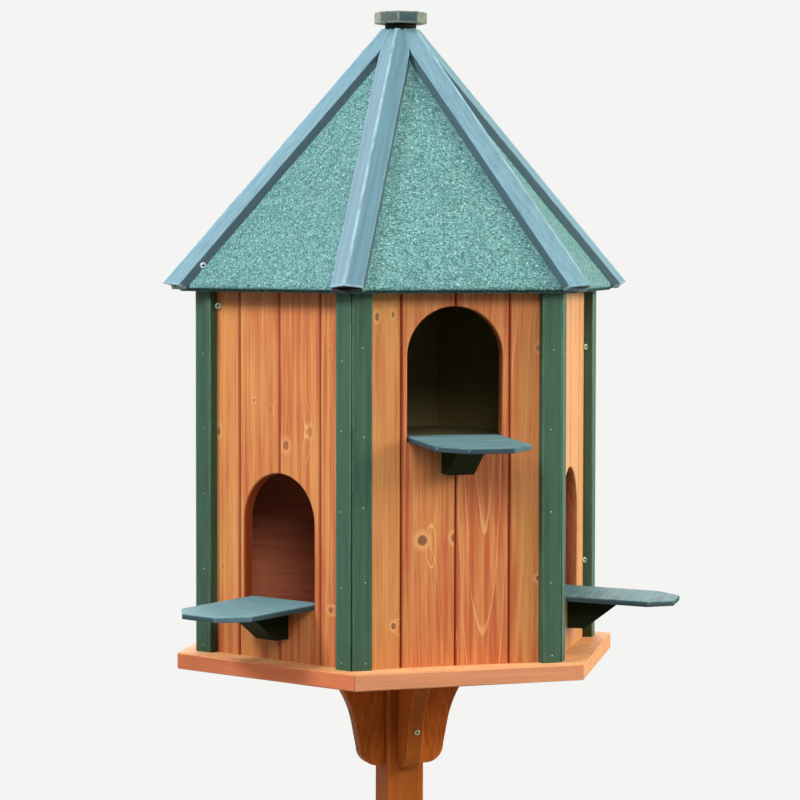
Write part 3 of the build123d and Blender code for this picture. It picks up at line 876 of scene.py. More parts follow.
    # The eased arris of an opening takes the edge colour, strongest on the right and fading out over the
    # crown to the left: partly wear, partly a painted highlight where light from the left catches the right
    # jamb.
    worn = 0.3 * on_edge * np.clip(0.5 + 0.5 * across / HALF_OPENING, 0.1, 1.0)
    if face == "front_right":
        worn = np.maximum(worn, 0.25)           # this side is paler: a painted sheen and painted light from the right
    worn = np.concatenate((worn.ravel(), 0.0 * worn.ravel()))
    shape = Shape(world, quads.tolist(), np.zeros(len(quads), bool), grain, worn, tone)
    # The cut edge round the opening is red with stain, and the inner face takes the inside colour, a painted
    # shade for the dim inside.
    gathered = np.maximum(np.broadcast_to(dirt, across.shape), 0.5 * on_edge)
    shape.stain = np.concatenate((gathered.ravel(), np.full(across.size, INSIDE_SHADE)))
    # Beside a knot: its distance across and along, in half widths and half heights, and its darkness
    # between them.  A board with fewer than three has the others far away.
    shape.knots = np.tile((99.0, 0.0, 99.0), (len(world), 3, 1))
    for place, (knot_x, knot_up, wide, high, dark) in enumerate(KNOTS.get((face, board), wild)):
        beside = np.stack(((x_all - knot_x) / wide, np.full(len(world), dark), (up_all - knot_up) / high), -1)
        shape.knots[:, place] = beside
    return shape


class DOVECOTE_OT_boards(bpy.types.Operator):
    """Lay the matched boards of the six walls, cut round their openings"""

    bl_idname = "dovecote.boards"
    bl_label = "Boards"

    def execute(self, context):
        settings = context.scene.dovecote_boards
        # Planed softwood under a thin honey stain: orange brown spring wood between paler hard rings.
        pine = stained_pine(
            "honey_stained_pine", settings.body, settings.deep, settings.pale, settings.line,
            dark=settings.seam, worn=settings.worn, lines=0.95, knots=3, knot=settings.knot,
            inside_shade_colour=settings.inner, crisp=2.3, streaky=0.68,
        )
        half_wall = WALL_OUT * FACE_SLOPE
        for face in FACES:
            shift = BOARD_SHIFT.get(face, 0.0)
            inner = [shift + place * settings.board_width for place in (-1, 0, 1)]
            edges = [-half_wall, *inner, half_wall]
            boards = [
                matched_board(face, place, first, last, settings)
                for place, (first, last) in enumerate(zip(edges, edges[1:]))
            ]
            build(f"boards_{face}", boards, pine, "board_wood", f"wall_{face}")
        return {"FINISHED"}


# ---------------------------------------------------------------- battens, plates and blocks
def chance_tone(seed, low=0.3, high=1.0):
    """An even chance of a tone between two values."""
    return np.random.default_rng(seed).uniform(low, high)


class DOVECOTE_OT_battens(bpy.types.Operator):
    """Stand the corner battens in mitred pairs, bevelled to the roof at their tops"""

    bl_idname = "dovecote.battens"
    bl_label = "Corner battens"

    def execute(self, context):
        settings = context.scene.dovecote_trim
        # Planed batten under a dense green stain: grain shows as faint streaks, arrises a little rubbed.
        pine = stained_pine(
            "green_stained_pine", settings.batten, deep=0.66, pale=1.35, line=1.55, dark=0.35, worn=1.9,
            roughness=0.55, gloss=0.3, ring_mm=3.0, lines=0.4, patch_mm=9.0,
        )
        gap = 0.0006 / cos(radians(HALF_FACE))      # half the open mitre of a pair
        for place, (corner, corner_turn) in enumerate(CORNERS.items()):
            pair = []
            for side in (-1, 1):
                # On the face to the right of the corner, seen from outside, the batten is at its left.
                turn = corner_turn + side * HALF_FACE
                outline = [
                    (-side * BATTEN_INNER_EDGE, WALL_OUT), (-side * BATTEN_INNER_EDGE, BATTEN_OUT),
                    (-side * (BATTEN_OUT * FACE_SLOPE - gap), BATTEN_OUT),
                    (-side * (WALL_OUT * FACE_SLOPE - gap), WALL_OUT),
                ]
                seed = 100 + 2 * place + (side > 0)
                pair.append(
                    member(
                        rounded(outline, (0.0, settings.batten_arris, settings.batten_arris * 0.6, 0.0)),
                        BASE_TOP, lambda a, b: underside_height(b), facing(turn, "acb"),
                        lambda a, b, c, seed=seed: in_log(a, b - BATTEN_OUT, c - BASE_TOP, seed),
                        # The left corner's pair is darkened by a low tone: a painted shade.
                        tone={"left": 0.15}.get(corner, chance_tone(seed)),
                    )
                )
            build(f"battens_{corner}", pair, pine, "batten_wood", f"corner_battens_{corner}")
        return {"FINISHED"}


class DOVECOTE_OT_plates(bpy.types.Operator):
    """Fit a landing plate with clipped corners and its bearing block to each opening"""

    bl_idname = "dovecote.plates"
    bl_label = "Landing plates"

    def execute(self, context):
        settings = context.scene.dovecote_trim
        # Planed board under a grey blue stain: brushed tops, and sawn edges that drank it dark.
        plate_pine = stained_pine(
            "grey_blue_stained_pine", settings.plate, deep=0.53, pale=1.05, line=1.1,
            dark=settings.plate_edge, worn=1.45, roughness=0.7, gloss=0.1, ring_mm=3.4, lines=0.35,
            patch_mm=10.0,
        )
        # Sawn offcut under a near black green stain: little shows but a faint sheen.
        block_pine = stained_pine(
            "black_green_stained_pine", settings.block, deep=0.75, pale=1.35, line=1.4, dark=0.5, worn=1.6,
            roughness=0.65, gloss=0.05, ring_mm=3.0, lines=0.3,
        )
        half = HALF_OPENING - settings.plate_side_clearance
        plate_outline = [
            (-half, WALL_IN - WALL_OUT), (half, WALL_IN - WALL_OUT), (half, settings.plate_side_reach),
            (half - settings.plate_clip, settings.plate_reach),
            (settings.plate_clip - half, settings.plate_reach), (-half, settings.plate_side_reach),
        ]
        plate_section = rounded(plate_outline, 0.0015)
        thickness = settings.plate_thickness
        skin = 0.0004               # this deep, the top's lighter stain goes down a plate's edge
        fall = settings.plate_fall
        blocks = []
        for place, (face, sill) in enumerate(SILLS.items()):
            turn = FACES[face]

            def lay_plate(a, b, c, turn=turn, sill=sill):
                out = WALL_OUT + b * cos(fall) + c * sin(fall)
                return local_to_world(a, sill - b * sin(fall) + c * cos(fall), out, turn)

            plate = member(
                plate_section, 0.0, thickness, lay_plate,
                lambda a, b, c, seed=200 + place: in_log(b, c - thickness, a, seed),
                # The front plate's low tone is a painted shade, and the front left one's high tone a painted
                # light.
                tone={"front": 0.25, "front_left": 1.1}.get(face, 0.4),
                end_arris=settings.plate_arris, end_wear=0.25,
            )
            # The edges are dark all round, but for the clipped corner on the right, which is rubbed.
            a, b, c = plate.local.T
            clipped = (b > settings.plate_side_reach - APART) & (a > half - settings.plate_clip - APART)
            edge = np.clip((thickness - skin - c) / (2.0 * skin), 0.0, 1.0)
            plate.stain = edge * np.where(clipped, 0.45, 0.97)
            plate.wear = plate.wear * (c > 0.5 * thickness)
            # The top of the one at the front left is painted paler: a painted light.
            pale_tops = (c > thickness - skin) & (face == "front_left")
            plate.wear = np.maximum(plate.wear, 0.45 * pale_tops)
            build(f"plate_{face}", [plate], plate_pine, "plate_wood", f"landing_plate_{face}")
            block_outline = [
                (WALL_OUT, sill - settings.block_height),
                (WALL_OUT + settings.block_foot, sill - settings.block_height),
                (WALL_OUT + settings.block_reach, sill - settings.block_reach * tan(fall)),
                (WALL_OUT, sill),
            ]
            blocks.append(
                member(
                    rounded(block_outline, (0.0, SAWN_ARRIS, SAWN_ARRIS, 0.0)),
                    -settings.block_width / 2.0, settings.block_width / 2.0, facing(turn, "cba"),
                    lambda a, b, c, seed=220 + place: in_log(b - BASE_TOP, c, a, seed),
                    tone=chance_tone(220 + place), end_arris=SAWN_ARRIS, end_wear=0.2,
                )
            )
        build("bearing_blocks", blocks, block_pine, "block_wood", "plate_blocks")
        return {"FINISHED"}


# ---------------------------------------------------------------- roof
class DOVECOTE_OT_roof(bpy.types.Operator):
    """Cover the six roof panels with mineral felt, turned under at the eaves"""

    bl_idname = "dovecote.roof"
    bl_label = "Felted roof"

    def execute(self, context):
        settings = context.scene.dovecote_roof
        felt = mineral_felt(settings)
        thickness = ROOF_DEPTH * cos(PITCH)
        eave_under = (EAVE_OUT - thickness * sin(PITCH), EAVE_HEIGHT - thickness * cos(PITCH))
        outline = [
            eave_under, (EAVE_OUT, EAVE_HEIGHT),
            *((out, covering_height(out)) for out in np.linspace(EAVE_OUT - 0.02, roof_top_out, 22)),
            (0.0, ROOF_TOP), (0.0, underside_height(0.0)),
        ]
        radii = np.zeros(len(outline))
        radii[:2] = settings.eave_rounding
        section = rounded(outline, radii, steps=7, fade=0.004)
        for place, (face, turn) in enumerate(FACES.items()):

            def lay_felt(a, b, c, turn=turn, place=place):
                # The felt lies in slow waves, a sum of three sines, that die out at the roof's top.
                wave = np.sin(31.0 * c + 1.7 * place) + np.sin(53.0 * a + 19.0 * c)
                wave += np.sin(71.0 * c - 37.0 * a + place)
                on_top = (b > covering_height(a) - 0.004) & (a > 0.03)
                lift = np.where(on_top, settings.felt_wave * (wave / 3.0 - 0.4), 0.0)
                return local_to_world(c, b + lift * cos(PITCH), a + lift * sin(PITCH), turn)

            panel = member(
                section, lambda a, b: -a * FACE_SLOPE, lambda a, b: a * FACE_SLOPE, lay_felt,
                lambda a, b, c, seed=300 + place: in_log(a, b, c, seed), tone=0.5,
                stations=np.linspace(0.0, 1.0, 42)[1:-1],
            )
            # Only the lower half of the turned eave takes the bitumen colour: partly lost grains, partly a
            # painted shade under the eave.
            panel.wear = panel.wear * (panel.points[:, 2] < EAVE_HEIGHT - 0.0018)
            build(f"felt_{face}", [panel], felt, "roof_felt", f"roof_panel_{face}")
        return {"FINISHED"}


class DOVECOTE_OT_cappings(bpy.types.Operator):
    """Lay a two-sided capping over each hip of the roof"""

    bl_idname = "dovecote.cappings"
    bl_label = "Hip cappings"

    def execute(self, context):
        settings = context.scene.dovecote_roof
        # Planed capping under a slate blue stain, with a broad pale band along its ridge: partly wear, partly
        # a painted highlight.
        pine = stained_pine(
            "slate_stained_pine", settings.capping, deep=0.82, pale=1.16, line=1.25,
            dark=settings.capping_end_and_shade, worn=settings.capping_wear_and_light, gloss=0.3, ring_mm=3.6, lines=0.35,
            patch_mm=10.0,
        )
        # The cap has the same stain, laid on darker.
        cap_pine = stained_pine(
            "dark_slate_stained_pine", settings.cap, deep=0.75, pale=1.2, line=1.3, dark=0.4,
            worn=settings.cap_wear_and_light, gloss=0.2, ring_mm=3.6, lines=0.3, patch_mm=11.0,
        )
        # The section is drawn upright: sideways from the hip, and height above the roof covering.
        side = CAPPING_HALF
        outline = [
            (0.0, RIDGE_RISE), (-side, EDGE_RISE), (-side, 0.0), (0.0, 0.0), (side, 0.0), (side, EDGE_RISE),
        ]
        arris, ridge = settings.capping_arris, settings.ridge_arris
        droop = ROOF_SLOPE * sin(radians(HALF_FACE))
        extra = (RIDGE_RISE - EDGE_RISE) / side
        lean = cos(radians(HALF_FACE))
        # Away from the hip the roof falls, and the section with it.
        drooped = [(s, h - droop * abs(s)) for s, h in outline]
        points, wear, curved = rounded(drooped, (ridge, arris, 0.0, 0.0, 0.0, arris), fade=0.0022)
        # The ridge takes more of the pale colour than the side arrises: partly wear, partly a painted
        # highlight.
        wear *= np.where(np.abs(points[:, 0]) > 0.5 * side, 0.4, 0.9)

        def lower_end(s, h):
            above = np.maximum(h + droop * np.abs(s), 0.0)
            out = EAVE_OUT + (CAPPING_OVERRUN + above * sin(PITCH)) * cos(PITCH)
            return -(out - np.abs(s) * sin(radians(HALF_FACE))) / lean

        def upper_end(s, h):
            return -(EAVE_OUT - (ROOF_TOP - EAVE_HEIGHT - h) / ROOF_SLOPE) / lean

        for place, (corner, turn) in enumerate(CORNERS.items()):

            def lay_capping(s, h, c, turn=turn):
                # Past the point where neighbours meet, the sides follow the plane between them.
                most = np.maximum(-c, 0.0) * FACE_SLOPE
                aside = np.clip(s, -most, most)
                share = (h + droop * np.abs(s)) / (RIDGE_RISE - extra * np.abs(s))
                height = h + (droop + share * extra) * (np.abs(s) - np.abs(aside))
                up = EAVE_HEIGHT + (EAVE_OUT + c * lean) * ROOF_SLOPE + height
                return local_to_world(aside, np.minimum(up, ROOF_TOP), -c, turn)

            capping = member(
                (points, wear, curved), lower_end, upper_end, lay_capping,
                lambda s, h, c, seed=400 + place: in_log(s, h, c * 1.6, seed),
                tone={"front_left": -0.4}.get(corner, chance_tone(400 + place, 0.5)),
                # The lower end takes the dark end colour: partly end grain that drank the stain, partly a
                # painted shade, as the cut faces down.
                end_arris=0.0012, end_wear=0.6, end_stain=1.0,
                stations=(0.25, 0.5, 0.75, 0.85, 0.88, 0.9, 0.92, 0.94, 0.96, 0.98, 0.99),
            )
            # The sawn sides kept their dark stain, where the tops take the pale colour: weathering all over,
            # and on the left and front right hips more of it, a painted light.
            sides = np.abs(capping.local[:, 0]) > side - HAIR
            capping.stain = np.maximum(capping.stain, 0.66 * sides)
            pale_tops = {"left": 0.28, "front_right": 0.30, "front_left": 0.0}.get(corner, 0.15)
            capping.wear = np.maximum(capping.wear, pale_tops * ~sides)
            # At the front left the right slope is painted a little darker than the left: a painted shade,
            # with the light falling from the left.
            kept = (corner == "front_left") & (capping.local[:, 0] > APART)
            capping.stain = np.maximum(capping.stain, 0.09 * kept)
            build(f"capping_{corner}", [capping], pine, "capping_wood", f"hip_capping_{corner}")

        cap = member(
            rounded(regular(8, CAP_FLAT, 22.5), 0.0012), NECK_TOP, CAP_TOP, on_axis,
            lambda a, b, c: in_log(b, c - CAP_TOP, a, 430), tone=0.6, end_arris=settings.cap_arris,
        )
        # Some of its eight sides are painted pale, counted anticlockwise from the one that faces +x: a
        # painted light on the sides turned to the left and right, where the light falls.
        rub_and_light = np.array((0.5, 0.0, 0.2, 0.5, 0.8, 0.3, 0.0, 0.8))
        facet = np.round(np.arctan2(cap.local[:, 1], cap.local[:, 0]) / radians(45.0)).astype(int) % 8
        cap.wear = np.maximum(cap.wear, rub_and_light[facet])
        build("cap", [cap], cap_pine, "capping_wood", "roof_cap")
        ring = np.linspace(0.0, 2.0 * np.pi, 48, endpoint=False)
        neck_section = (arc(NECK_RADIUS, ring), np.zeros(len(ring)), np.ones(len(ring), bool))
        # Turned neck in the shade of the cap, painted near black: partly its stain, partly a painted shade of
        # the cap.
        black = shade(context.scene.dovecote_trim.block, 0.6)
        neck_pine = stained_pine(
            "stained_and_shaded_turned_pine", black, deep=0.8, pale=1.2, line=1.3, dark=0.5, worn=1.5,
            roughness=0.7, gloss=0.15,
        )
        neck = member(
            neck_section, ROOF_TOP, NECK_TOP, on_axis, lambda a, b, c: in_log(a, b, c, 431), tone=0.5,
        )
        build("neck", [neck], neck_pine, "block_wood", "cap_neck")
        return {"FINISHED"}


# ---------------------------------------------------------------- stand
TOP_LIGHT = 0.75             # painted light on the tops, which face the sky: their share of the pale colour


class DOVECOTE_OT_base(bpy.types.Operator):
    """Make the base board and its six mitred edging strips"""

    bl_idname = "dovecote.base"
    bl_label = "Base"

    def execute(self, context):
        settings = context.scene.dovecote_stand
        # Planed softwood under a clear finish: pinkish orange with soft, close grain.
        pine = stained_pine(
            "clear_finished_pine", settings.base, deep=0.86, pale=1.12, line=1.22, dark=settings.base_deep,
            worn=settings.base_wear_and_light, roughness=0.65, gloss=0.06, ring_mm=3.8, lines=0.45, patch_mm=14.0,
        )
        board = member(
            rounded(regular(6, BASE_BOARD_OUT, STAND_TURN), 0.0), BASE_LOW, BASE_TOP, on_axis,
            lambda a, b, c: in_log(b, c - BASE_TOP, a, 500, (0.21, 0.045, 0.004)), tone=0.8,
        )
        # Its top takes the pale colour: a painted light from the sky.
        board.wear = TOP_LIGHT * (board.points[:, 2] > BASE_TOP - HAIR)
        build("base_board_dressed", [board], pine, "base_wood", "base_board")
        outline = [
            (BASE_BOARD_OUT, BASE_LOW), (BASE_OUT, BASE_LOW), (BASE_OUT, BASE_TOP),
            (BASE_BOARD_OUT, BASE_TOP),
        ]
        arris = settings.edging_arris
        section = rounded(outline, (0.0004, arris, arris, 0.0004), fade=0.0005)
        strips = [
            member(
                section, lambda a, b: settings.edging_gap / 2.0 - a * FACE_SLOPE,
                lambda a, b: a * FACE_SLOPE - settings.edging_gap / 2.0, facing(turn + STAND_TURN, "cba"),
                lambda a, b, c, seed=510 + place: in_log(b - BASE_TOP, a - BASE_OUT, c, seed),
                tone=chance_tone(510 + place, 0.6),
            )
            for place, turn in enumerate(FACES.values())
        ]
        # The tops take a painted light from the sky, the front right strip a painted light from the right,
        # and two strips took the stain deeper.
        for face, strip in zip(FACES, strips):
            strip.wear = np.maximum(0.3 * strip.wear, TOP_LIGHT * (strip.points[:, 2] > BASE_TOP - 5.0 * HAIR))
            strip.wear = np.maximum(strip.wear, 0.45 * (face == "front_right"))
            strip.stain = np.maximum(strip.stain, {"front_left": 0.45, "back": 0.45}.get(face, 0.0))
        build("edging_strips", strips, pine, "base_wood", "base_edging")
        return {"FINISHED"}


class DOVECOTE_OT_stand(bpy.types.Operator):
    """Make the post and the four brackets that carry the base"""

    bl_idname = "dovecote.stand"
    bl_label = "Post and brackets"

    def execute(self, context):
        settings = context.scene.dovecote_stand
        # Planed softwood under a chestnut stain, its arrises rubbed pale.
        pine = stained_pine(
            "chestnut_stained_pine", settings.post, deep=0.8, pale=1.2, line=1.35, dark=0.3, worn=1.5,
            roughness=0.6, gloss=0.07, ring_mm=4.2, lines=0.5, patch_mm=14.0,
        )
        square = [(POST_HALF * x, POST_HALF * y) for x, y in ((-1, -1), (1, -1), (1, 1), (-1, 1))]
        post = member(
            rounded(square, settings.post_arris), 0.0, BASE_LOW, facing(FRONT + STAND_TURN, "acb"),
            lambda a, b, c: in_log(a, b, c, 600, (0.052, 0.034, 0.004)), tone=0.7, end_arris=SAWN_ARRIS,
        )
        build("post_dressed", [post], pine, "post_wood", "post")

        toe = settings.bracket_toe_radius
        toe_x = POST_HALF + settings.bracket_toe_reach
        toe_y = BRACKET_LOW + toe
        lean = settings.bracket_lean
        shank_x = toe_x + settings.bracket_shank * sin(lean)
        shank_y = toe_y + settings.bracket_shank * cos(lean)
        # Flare: a circle that leaves the shank along its lean and ends at the tip under the base.
        run = np.array((BRACKET_OUT - shank_x, BASE_LOW - shank_y))
        square_out = np.array((cos(lean), -sin(lean)))
        flare = run @ run / (2.0 * run @ square_out)
        middle = np.array((shank_x, shank_y)) + flare * square_out
        start = atan2(shank_y - middle[1], shank_x - middle[0])
        stop = atan2(BASE_LOW - middle[1], BRACKET_OUT - middle[0])
        angles = np.linspace(start, stop if stop < start else stop - 2.0 * np.pi, 17)
        toe_angles = np.linspace(-np.pi / 2.0, 0.0, 13)
        outline = np.concatenate(
            (
                [(POST_HALF, BASE_LOW), (POST_HALF, BRACKET_LOW)], arc(toe, toe_angles, toe_x - toe, toe_y),
                arc(flare, angles, *middle),
            )
        )
        points, wear, curved = rounded(outline, 0.0)
        curved[2:1 + len(toe_angles)] = True
        curved[2 + len(toe_angles):-1] = True
        for place, (name, turn) in enumerate(BRACKETS.items()):
            bracket = member(
                (points, wear, curved), -BRACKET_HALF, BRACKET_HALF, facing(turn + STAND_TURN, "cba"),
                lambda a, b, c, seed=620 + place: in_log(c, a - 0.1, b, seed),
                tone=chance_tone(620 + place, 0.4), end_arris=settings.bracket_arris,
            )
            build(f"bracket_{name}", [bracket], pine, "post_wood", f"post_bracket_{name}")
        return {"FINISHED"}


class DOVECOTE_OT_inside(bpy.types.Operator):
    """Make the plywood floor and the partitions between the nest boxes"""

    bl_idname = "dovecote.inside"
    bl_label = "Floor and partitions"

    def execute(self, context):
        settings = context.scene.dovecote_stand
        # Rotary cut plywood under a reddish brown stain: broad, wandering grain that runs level.
        plywood = stained_pine(
            "brown_stained_plywood", settings.plywood, deep=0.78, pale=1.15, line=0.65, dark=settings.floor_shade,
            worn=1.2, roughness=0.65, gloss=0.25, ring_mm=1.6, lines=0.5, patch_mm=9.0,
        )
        floor = member(
            rounded(regular(6, FLOOR_OUT), 0.0), FLOOR_LOW, FLOOR_HIGH, on_axis,
            lambda a, b, c: in_log(b, c, a, 700), tone=0.6,
        )
        # The floor takes the greyed floor colour all over: a painted shade, matched to the inside of the
        # walls.
        floor.stain[:] = 1.0
        build("floor_plywood", [floor], plywood, "inner_wood", "upper_floor")
        # Three leaves meet on the axis, and stand between the base and the floor above.
        legs = list(FACES.values())[0::2]
        clear = 0.0006              # from where the leaves would meet on the axis
        inner = PARTITION_HALF / tan(radians(FACE_STEP)) + clear
        outline = [(inner, BASE_TOP), (FLOOR_OUT, BASE_TOP), (FLOOR_OUT, FLOOR_LOW), (inner, FLOOR_LOW)]
        leaves = [
            member(
                rounded(outline, 0.0), -PARTITION_HALF, PARTITION_HALF, facing(turn, "cba"),
                lambda a, b, c, seed=710 + place: in_log(b - BASE_TOP, c * 0.3, a, seed, (-0.4, 0.004, 0.05)),
                tone=0.6,
            )
            for place, turn in enumerate(legs)
        ]
        build("partition_plywood", leaves, plywood, "inner_wood", "lower_partitions")
        return {"FINISHED"}


# ---------------------------------------------------------------- fixings
# Proportions of a screw head, in head radii: its dome, its edge, and the cross sunk in it.
DOME, HEAD_EDGE = 0.34, 0.10
CROSS_HALF, CROSS_REACH, CROSS_DEPTH = 0.17, 0.62, 0.35


def domed_head(centre, outward, radius, cross):
    """A screw or nail head: a dome z = h(1 - (r/R)^2) turned about its axis, with a cross sunk in it."""
    rings = np.linspace(0.0, 1.0, 8 if cross else 3)[1:]
    angles = np.linspace(0.0, 2.0 * np.pi, 40 if cross else 10, endpoint=False)
    r, t = np.meshgrid(rings, angles, indexing="ij")
    x, y = r * np.cos(t), r * np.sin(t)
    small, large = np.minimum(np.abs(x), np.abs(y)), np.maximum(np.abs(x), np.abs(y))
    sunk = np.where((small < CROSS_HALF) & (large < CROSS_REACH), 1.0, 0.0) if cross else np.zeros(x.shape)
    rise = (DOME * (1.0 - r**2) + HEAD_EDGE - CROSS_DEPTH * sunk) * radius
    rise[-1] = 0.0
    x = np.concatenate(([0.0], x.ravel()))
    y = np.concatenate(([0.0], y.ravel()))
    rise = np.concatenate(([(DOME + HEAD_EDGE - (CROSS_DEPTH if cross else 0.0)) * radius], rise.ravel()))
    recess = np.concatenate(([float(cross)], sunk.ravel()))
    outward = np.array(outward, float) / np.linalg.norm(outward)
    level = np.cross((0.0, 0.0, 1.0), outward)
    level /= np.linalg.norm(level)
    upward = np.cross(outward, level)
    world = np.array(centre) + radius * (x[:, None] * level + y[:, None] * upward) + rise[:, None] * outward
    count = len(angles)
    number = 1 + np.arange(len(rings) * count).reshape(len(rings), count)
    beside = np.roll(number, -1, 1)
    quads = np.stack((number[:-1], number[1:], beside[1:], beside[:-1]), -1).reshape(-1, 4)
    fan = np.stack((np.zeros(count, int), number[0], beside[0]), -1)
    faces = quads.tolist() + fan.tolist() + [number[-1][::-1].tolist()]
    smooth = np.ones(len(faces), bool)
    smooth[-1] = False
    shape = Shape(world, faces, smooth, world.copy(), 0.0 * recess, 0.5)
    # The sunk cross takes the recess colour: a painted shade.
    shape.stain = recess
    return shape


class DOVECOTE_OT_fixings(bpy.types.Operator):
    """Drive the screws and the nails that show"""

    bl_idname = "dovecote.fixings"
    bl_label = "Fixings"

    def execute(self, context):
        settings = context.scene.dovecote_fixings
        zinc = plated_steel("zinc_plated_steel", settings.zinc, settings.recess, 0.45)
        bright = plated_steel("bright_plated_steel", settings.steel, settings.recess, 0.4)
        radius = settings.screw_radius

        # Each wall screw is driven askew where a board meets the side of a batten.
        clear = 0.0025              # from a screw's middle to the batten and to the boards
        beside = BATTEN_INNER_EDGE - clear
        high, middle, low = (BASE_TOP + up for up in (0.4455, 0.3886, 0.1037))
        wall_screws = (
            ("front_left", clear - beside, high), ("front_right", beside, middle),
            ("front_right", beside, low), ("back", -beside, middle), ("back", -beside, low),
            ("back_left", beside, high),
        )
        heads = [
            domed_head(
                local_to_world(x, up, WALL_OUT + clear, FACES[face]),
                local_to_world(-0.8 * np.sign(x), 0.0, 1.0, FACES[face]), radius, cross=True,
            )
            for face, x, up in wall_screws
        ]
        build("wall_screws", heads, zinc, "batten_wood")

        # The first nail stands just above the base, the others about evenly, and none under the eaves.
        first, last = BASE_TOP + 0.009, OUTER_WALL_TOP - 0.012
        inset, drift, sunk = 0.0105, 0.009, 0.0003
        count = int((OUTER_WALL_TOP - BASE_TOP) / settings.nail_spacing) + 1
        nails = []
        for place, corner_turn in enumerate(CORNERS.values()):
            for side in (-1, 1):
                turn = corner_turn + side * HALF_FACE
                outward = local_to_world(0.0, 0.0, 1.0, turn)
                chance = np.random.default_rng(800 + 2 * place + (side > 0))
                ups = first + settings.nail_spacing * np.arange(count)
                ups[1:] += chance.uniform(-drift, drift, count - 1)
                places = BATTEN_INNER_EDGE + inset + chance.uniform(-0.002, 0.004, count)
                nails += [
                    domed_head(
                        local_to_world(-side * across, up, BATTEN_OUT - sunk, turn), outward,
                        settings.nail_radius, cross=False,
                    )
                    for up, across in zip(ups, places)
                    if up < last
                ]
        build("batten_nails", nails, bright, "batten_wood")

        # A bracket's screw stands square to its leaning shank.
        stand = context.scene.dovecote_stand
        fall = tan(stand.bracket_lean)
        shank_up = BRACKET_LOW + 0.050
        shank_out = (
            POST_HALF + stand.bracket_toe_reach + (shank_up - BRACKET_LOW - stand.bracket_toe_radius) * fall
        )
        heads = [
            domed_head(
                local_to_world(0.002, shank_up, shank_out, BRACKETS[name] + STAND_TURN),
                local_to_world(0.0, -fall, 1.0, BRACKETS[name] + STAND_TURN), radius * 0.9, cross=True,
            )
            for name in ("front", "back")
        ]
        build("bracket_screws", heads, zinc, "post_wood")

        # A capping's screw goes in from its side, a little way up from the eave.
        along = EAVE_OUT / cos(radians(HALF_FACE)) - 0.0325
        aside = CAPPING_HALF - 0.0002
        below = along * cos(radians(HALF_FACE)) + aside * sin(radians(HALF_FACE))
        up = covering_height(below) + 0.2 * EDGE_RISE
        heads = [
            domed_head(
                local_to_world(aside, up, along, CORNERS[corner]),
                local_to_world(1.0, 0.0, 0.0, CORNERS[corner]), radius, cross=True,
            )
            for corner in ("left", "back_right")
        ]
        build("capping_screws", heads, bright, "capping_wood")
        return {"FINISHED"}


# ---------------------------------------------------------------- stage
# The camera stands so far round to the left of the front, looks so far down, and leans a little.
CAMERA_HEADING, CAMERA_TILT, CAMERA_ROLL = (radians(turn) for turn in (17.6, 2.983, 0.10))
LAMP_DISTANCE = 4.6
FLOOR_BOUNCE = 0.22         # of its colour, the share that the floor throws back on the dovecote


def softbox(name, middle, azimuth, rise, width, level, tint):
    """A square soft lamp that faces the middle.

    Its power is pi squared times its distance squared times the level, at which a white face turned
    to it shows that level."""
    toward = Vector((cos(azimuth) * cos(rise), sin(azimuth) * cos(rise), sin(rise)))
    lamp = bpy.data.lights.new(name, "AREA")
    lamp.size = width
    lamp.energy = level * (np.pi * LAMP_DISTANCE) ** 2
    lamp.color = tint
    holder = bpy.data.objects.new(name, lamp)
    holder.location = middle + LAMP_DISTANCE * toward
    holder.rotation_euler = (-toward).to_track_quat("-Z", "Y").to_euler()
    bpy.context.scene.collection.objects.link(holder)


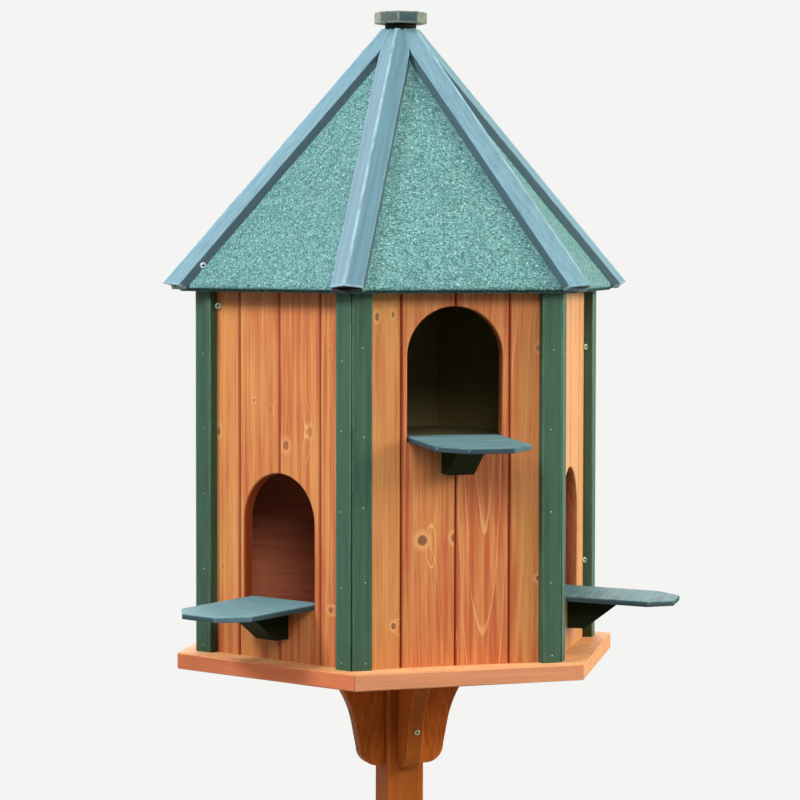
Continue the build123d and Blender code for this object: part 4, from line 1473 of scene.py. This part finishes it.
class DOVECOTE_OT_stage(bpy.types.Operator):
    """Set up the pale floor, the soft lamps, the background and the camera"""

    bl_idname = "dovecote.stage"
    bl_label = "Stage"

    def execute(self, context):
        settings = context.scene.dovecote_stage
        scene = context.scene
        # Matt painted floor, which fades into the plain background from 1.25 m to 3.75 m from the post.
        material, shader = new_material("matt_painted_floor", 0.9)
        node = partial(add_node, material)
        shader.inputs["Base Color"].default_value = (*shade(settings.floor, FLOOR_BOUNCE), 1.0)
        place = node("TexCoord").outputs["Object"]
        away = node("VectorMath", {0: place}, operation="LENGTH")
        away = node("Math", {0: away, 1: 0.2}, operation="MULTIPLY")
        fade = node("ValToRGB", {"Fac": away}, stops=[(0.25, 0.0), (0.75, 1.0)])
        seen = shown_rays(node)
        glow = node("Emission", {"Color": settings.floor, "Strength": 1.0})
        bright = node("BsdfDiffuse", {"Color": settings.floor})
        near = node("MixShader", {0: seen, 1: shader.outputs[0], 2: bright})
        far = node("Math", {0: fade, 1: seen}, operation="MULTIPLY")
        mixed = node("MixShader", {0: far, 1: near, 2: glow})
        wire(material, material.node_tree.nodes["Material Output"], Surface=mixed.outputs[0])
        rim = arc(settings.floor_radius, np.linspace(0.0, 2.0 * np.pi, 96, endpoint=False))
        mesh = bpy.data.meshes.new("floor")
        mesh.from_pydata([(x, y, 0.0) for x, y in rim], [], [list(range(len(rim)))])
        mesh.materials.append(material)
        floor = bpy.data.objects.new("floor", mesh)
        scene.collection.objects.link(floor)

        # Background: plain for the eye, and for the light a pale sky over a dim ground.
        world = bpy.data.worlds.new("studio")
        world.use_nodes = True
        scene.world = world
        world.node_tree.nodes.clear()
        node = partial(add_node, world)
        height = node("SeparateXYZ", {0: node("TexCoord").outputs["Generated"]}).outputs["Z"]
        height = node("Math", {0: height, 1: 0.5, 2: 0.5}, operation="MULTIPLY_ADD")
        sky = node("ValToRGB", {"Fac": height}, stops=[(0.42, 0.03), (0.56, 0.24), (1.0, 0.42)])
        lit = node("Background", {"Color": sky, "Strength": 1.0})
        plain = node("Background", {"Color": settings.floor, "Strength": 1.0})
        node("OutputWorld", {"Surface": node("MixShader", {0: shown_rays(node), 1: lit, 2: plain})})

        # Lamps by azimuth from +X, height above the horizon, width and the light that reaches a face.
        middle = Vector((0.0, 0.0, 0.5 * (BASE_TOP + ROOF_TOP)))
        lamps = {
            "left": (-168.0, 36.0, 1.1, settings.left_light, (0.95, 0.99, 1.04)),
            "front": (-102.0, 24.0, 1.5, settings.front_light, (1.0, 1.0, 0.98)),
            "right": (-18.0, 17.0, 1.8, settings.right_light, (1.0, 1.0, 0.9)),
            "back": (75.0, 22.0, 2.6, settings.back_light, (1.0, 1.0, 1.0)),
            "back_left": (118.0, 22.0, 2.4, 0.6 * settings.back_light, (1.0, 1.0, 1.0)),
        }
        for name, (azimuth, rise, width, level, tint) in lamps.items():
            softbox(name, middle, radians(azimuth), radians(rise), width, level, tint)

        scene.view_settings.view_transform = "Standard"
        camera = bpy.data.objects.new("camera", bpy.data.cameras.new("camera"))
        level = -settings.camera_distance * np.array((sin(CAMERA_HEADING), cos(CAMERA_HEADING)))
        camera.location = (*level, settings.camera_height)
        turned = Matrix.Rotation(-CAMERA_HEADING, 4, "Z")
        raised = turned @ Matrix.Rotation(radians(90.0) - CAMERA_TILT, 4, "X")
        camera.rotation_euler = (raised @ Matrix.Rotation(CAMERA_ROLL, 4, "Z")).to_euler()
        camera.data.lens = settings.lens
        scene.collection.objects.link(camera)
        scene.camera = camera
        return {"FINISHED"}


# ---------------------------------------------------------------- panel and registration
OPERATORS = (
    DOVECOTE_OT_stage, DOVECOTE_OT_boards, DOVECOTE_OT_battens, DOVECOTE_OT_plates, DOVECOTE_OT_roof,
    DOVECOTE_OT_cappings, DOVECOTE_OT_base, DOVECOTE_OT_stand, DOVECOTE_OT_inside, DOVECOTE_OT_fixings,
)


class DOVECOTE_PT_panel(bpy.types.Panel):
    """Sizes, colours and pieces of the dovecote"""

    bl_idname = "DOVECOTE_PT_panel"
    bl_label = "Dovecote"
    bl_space_type = "VIEW_3D"
    bl_region_type = "UI"
    bl_category = "Dovecote"

    def draw(self, context):
        for operator in OPERATORS:
            self.layout.operator(operator.bl_idname)
        for key, group in SETTINGS.items():
            box = self.layout.box()
            box.label(text=group.__doc__)
            for name in group.__annotations__:
                box.prop(getattr(context.scene, key), name)


def register():
    for group in SETTINGS.values():
        bpy.utils.register_class(group)
    for key, group in SETTINGS.items():
        setattr(bpy.types.Scene, key, PointerProperty(type=group))
    for entry in (*OPERATORS, DOVECOTE_PT_panel):
        bpy.utils.register_class(entry)


def unregister():
    for entry in reversed((*OPERATORS, DOVECOTE_PT_panel)):
        bpy.utils.unregister_class(entry)
    for key in SETTINGS:
        delattr(bpy.types.Scene, key)
    for group in reversed(list(SETTINGS.values())):
        bpy.utils.unregister_class(group)


def main():
    register()
    for operator in OPERATORS:
        category, name = operator.bl_idname.split(".")
        getattr(getattr(bpy.ops, category), name)()


if __name__ == "__main__":
    main()
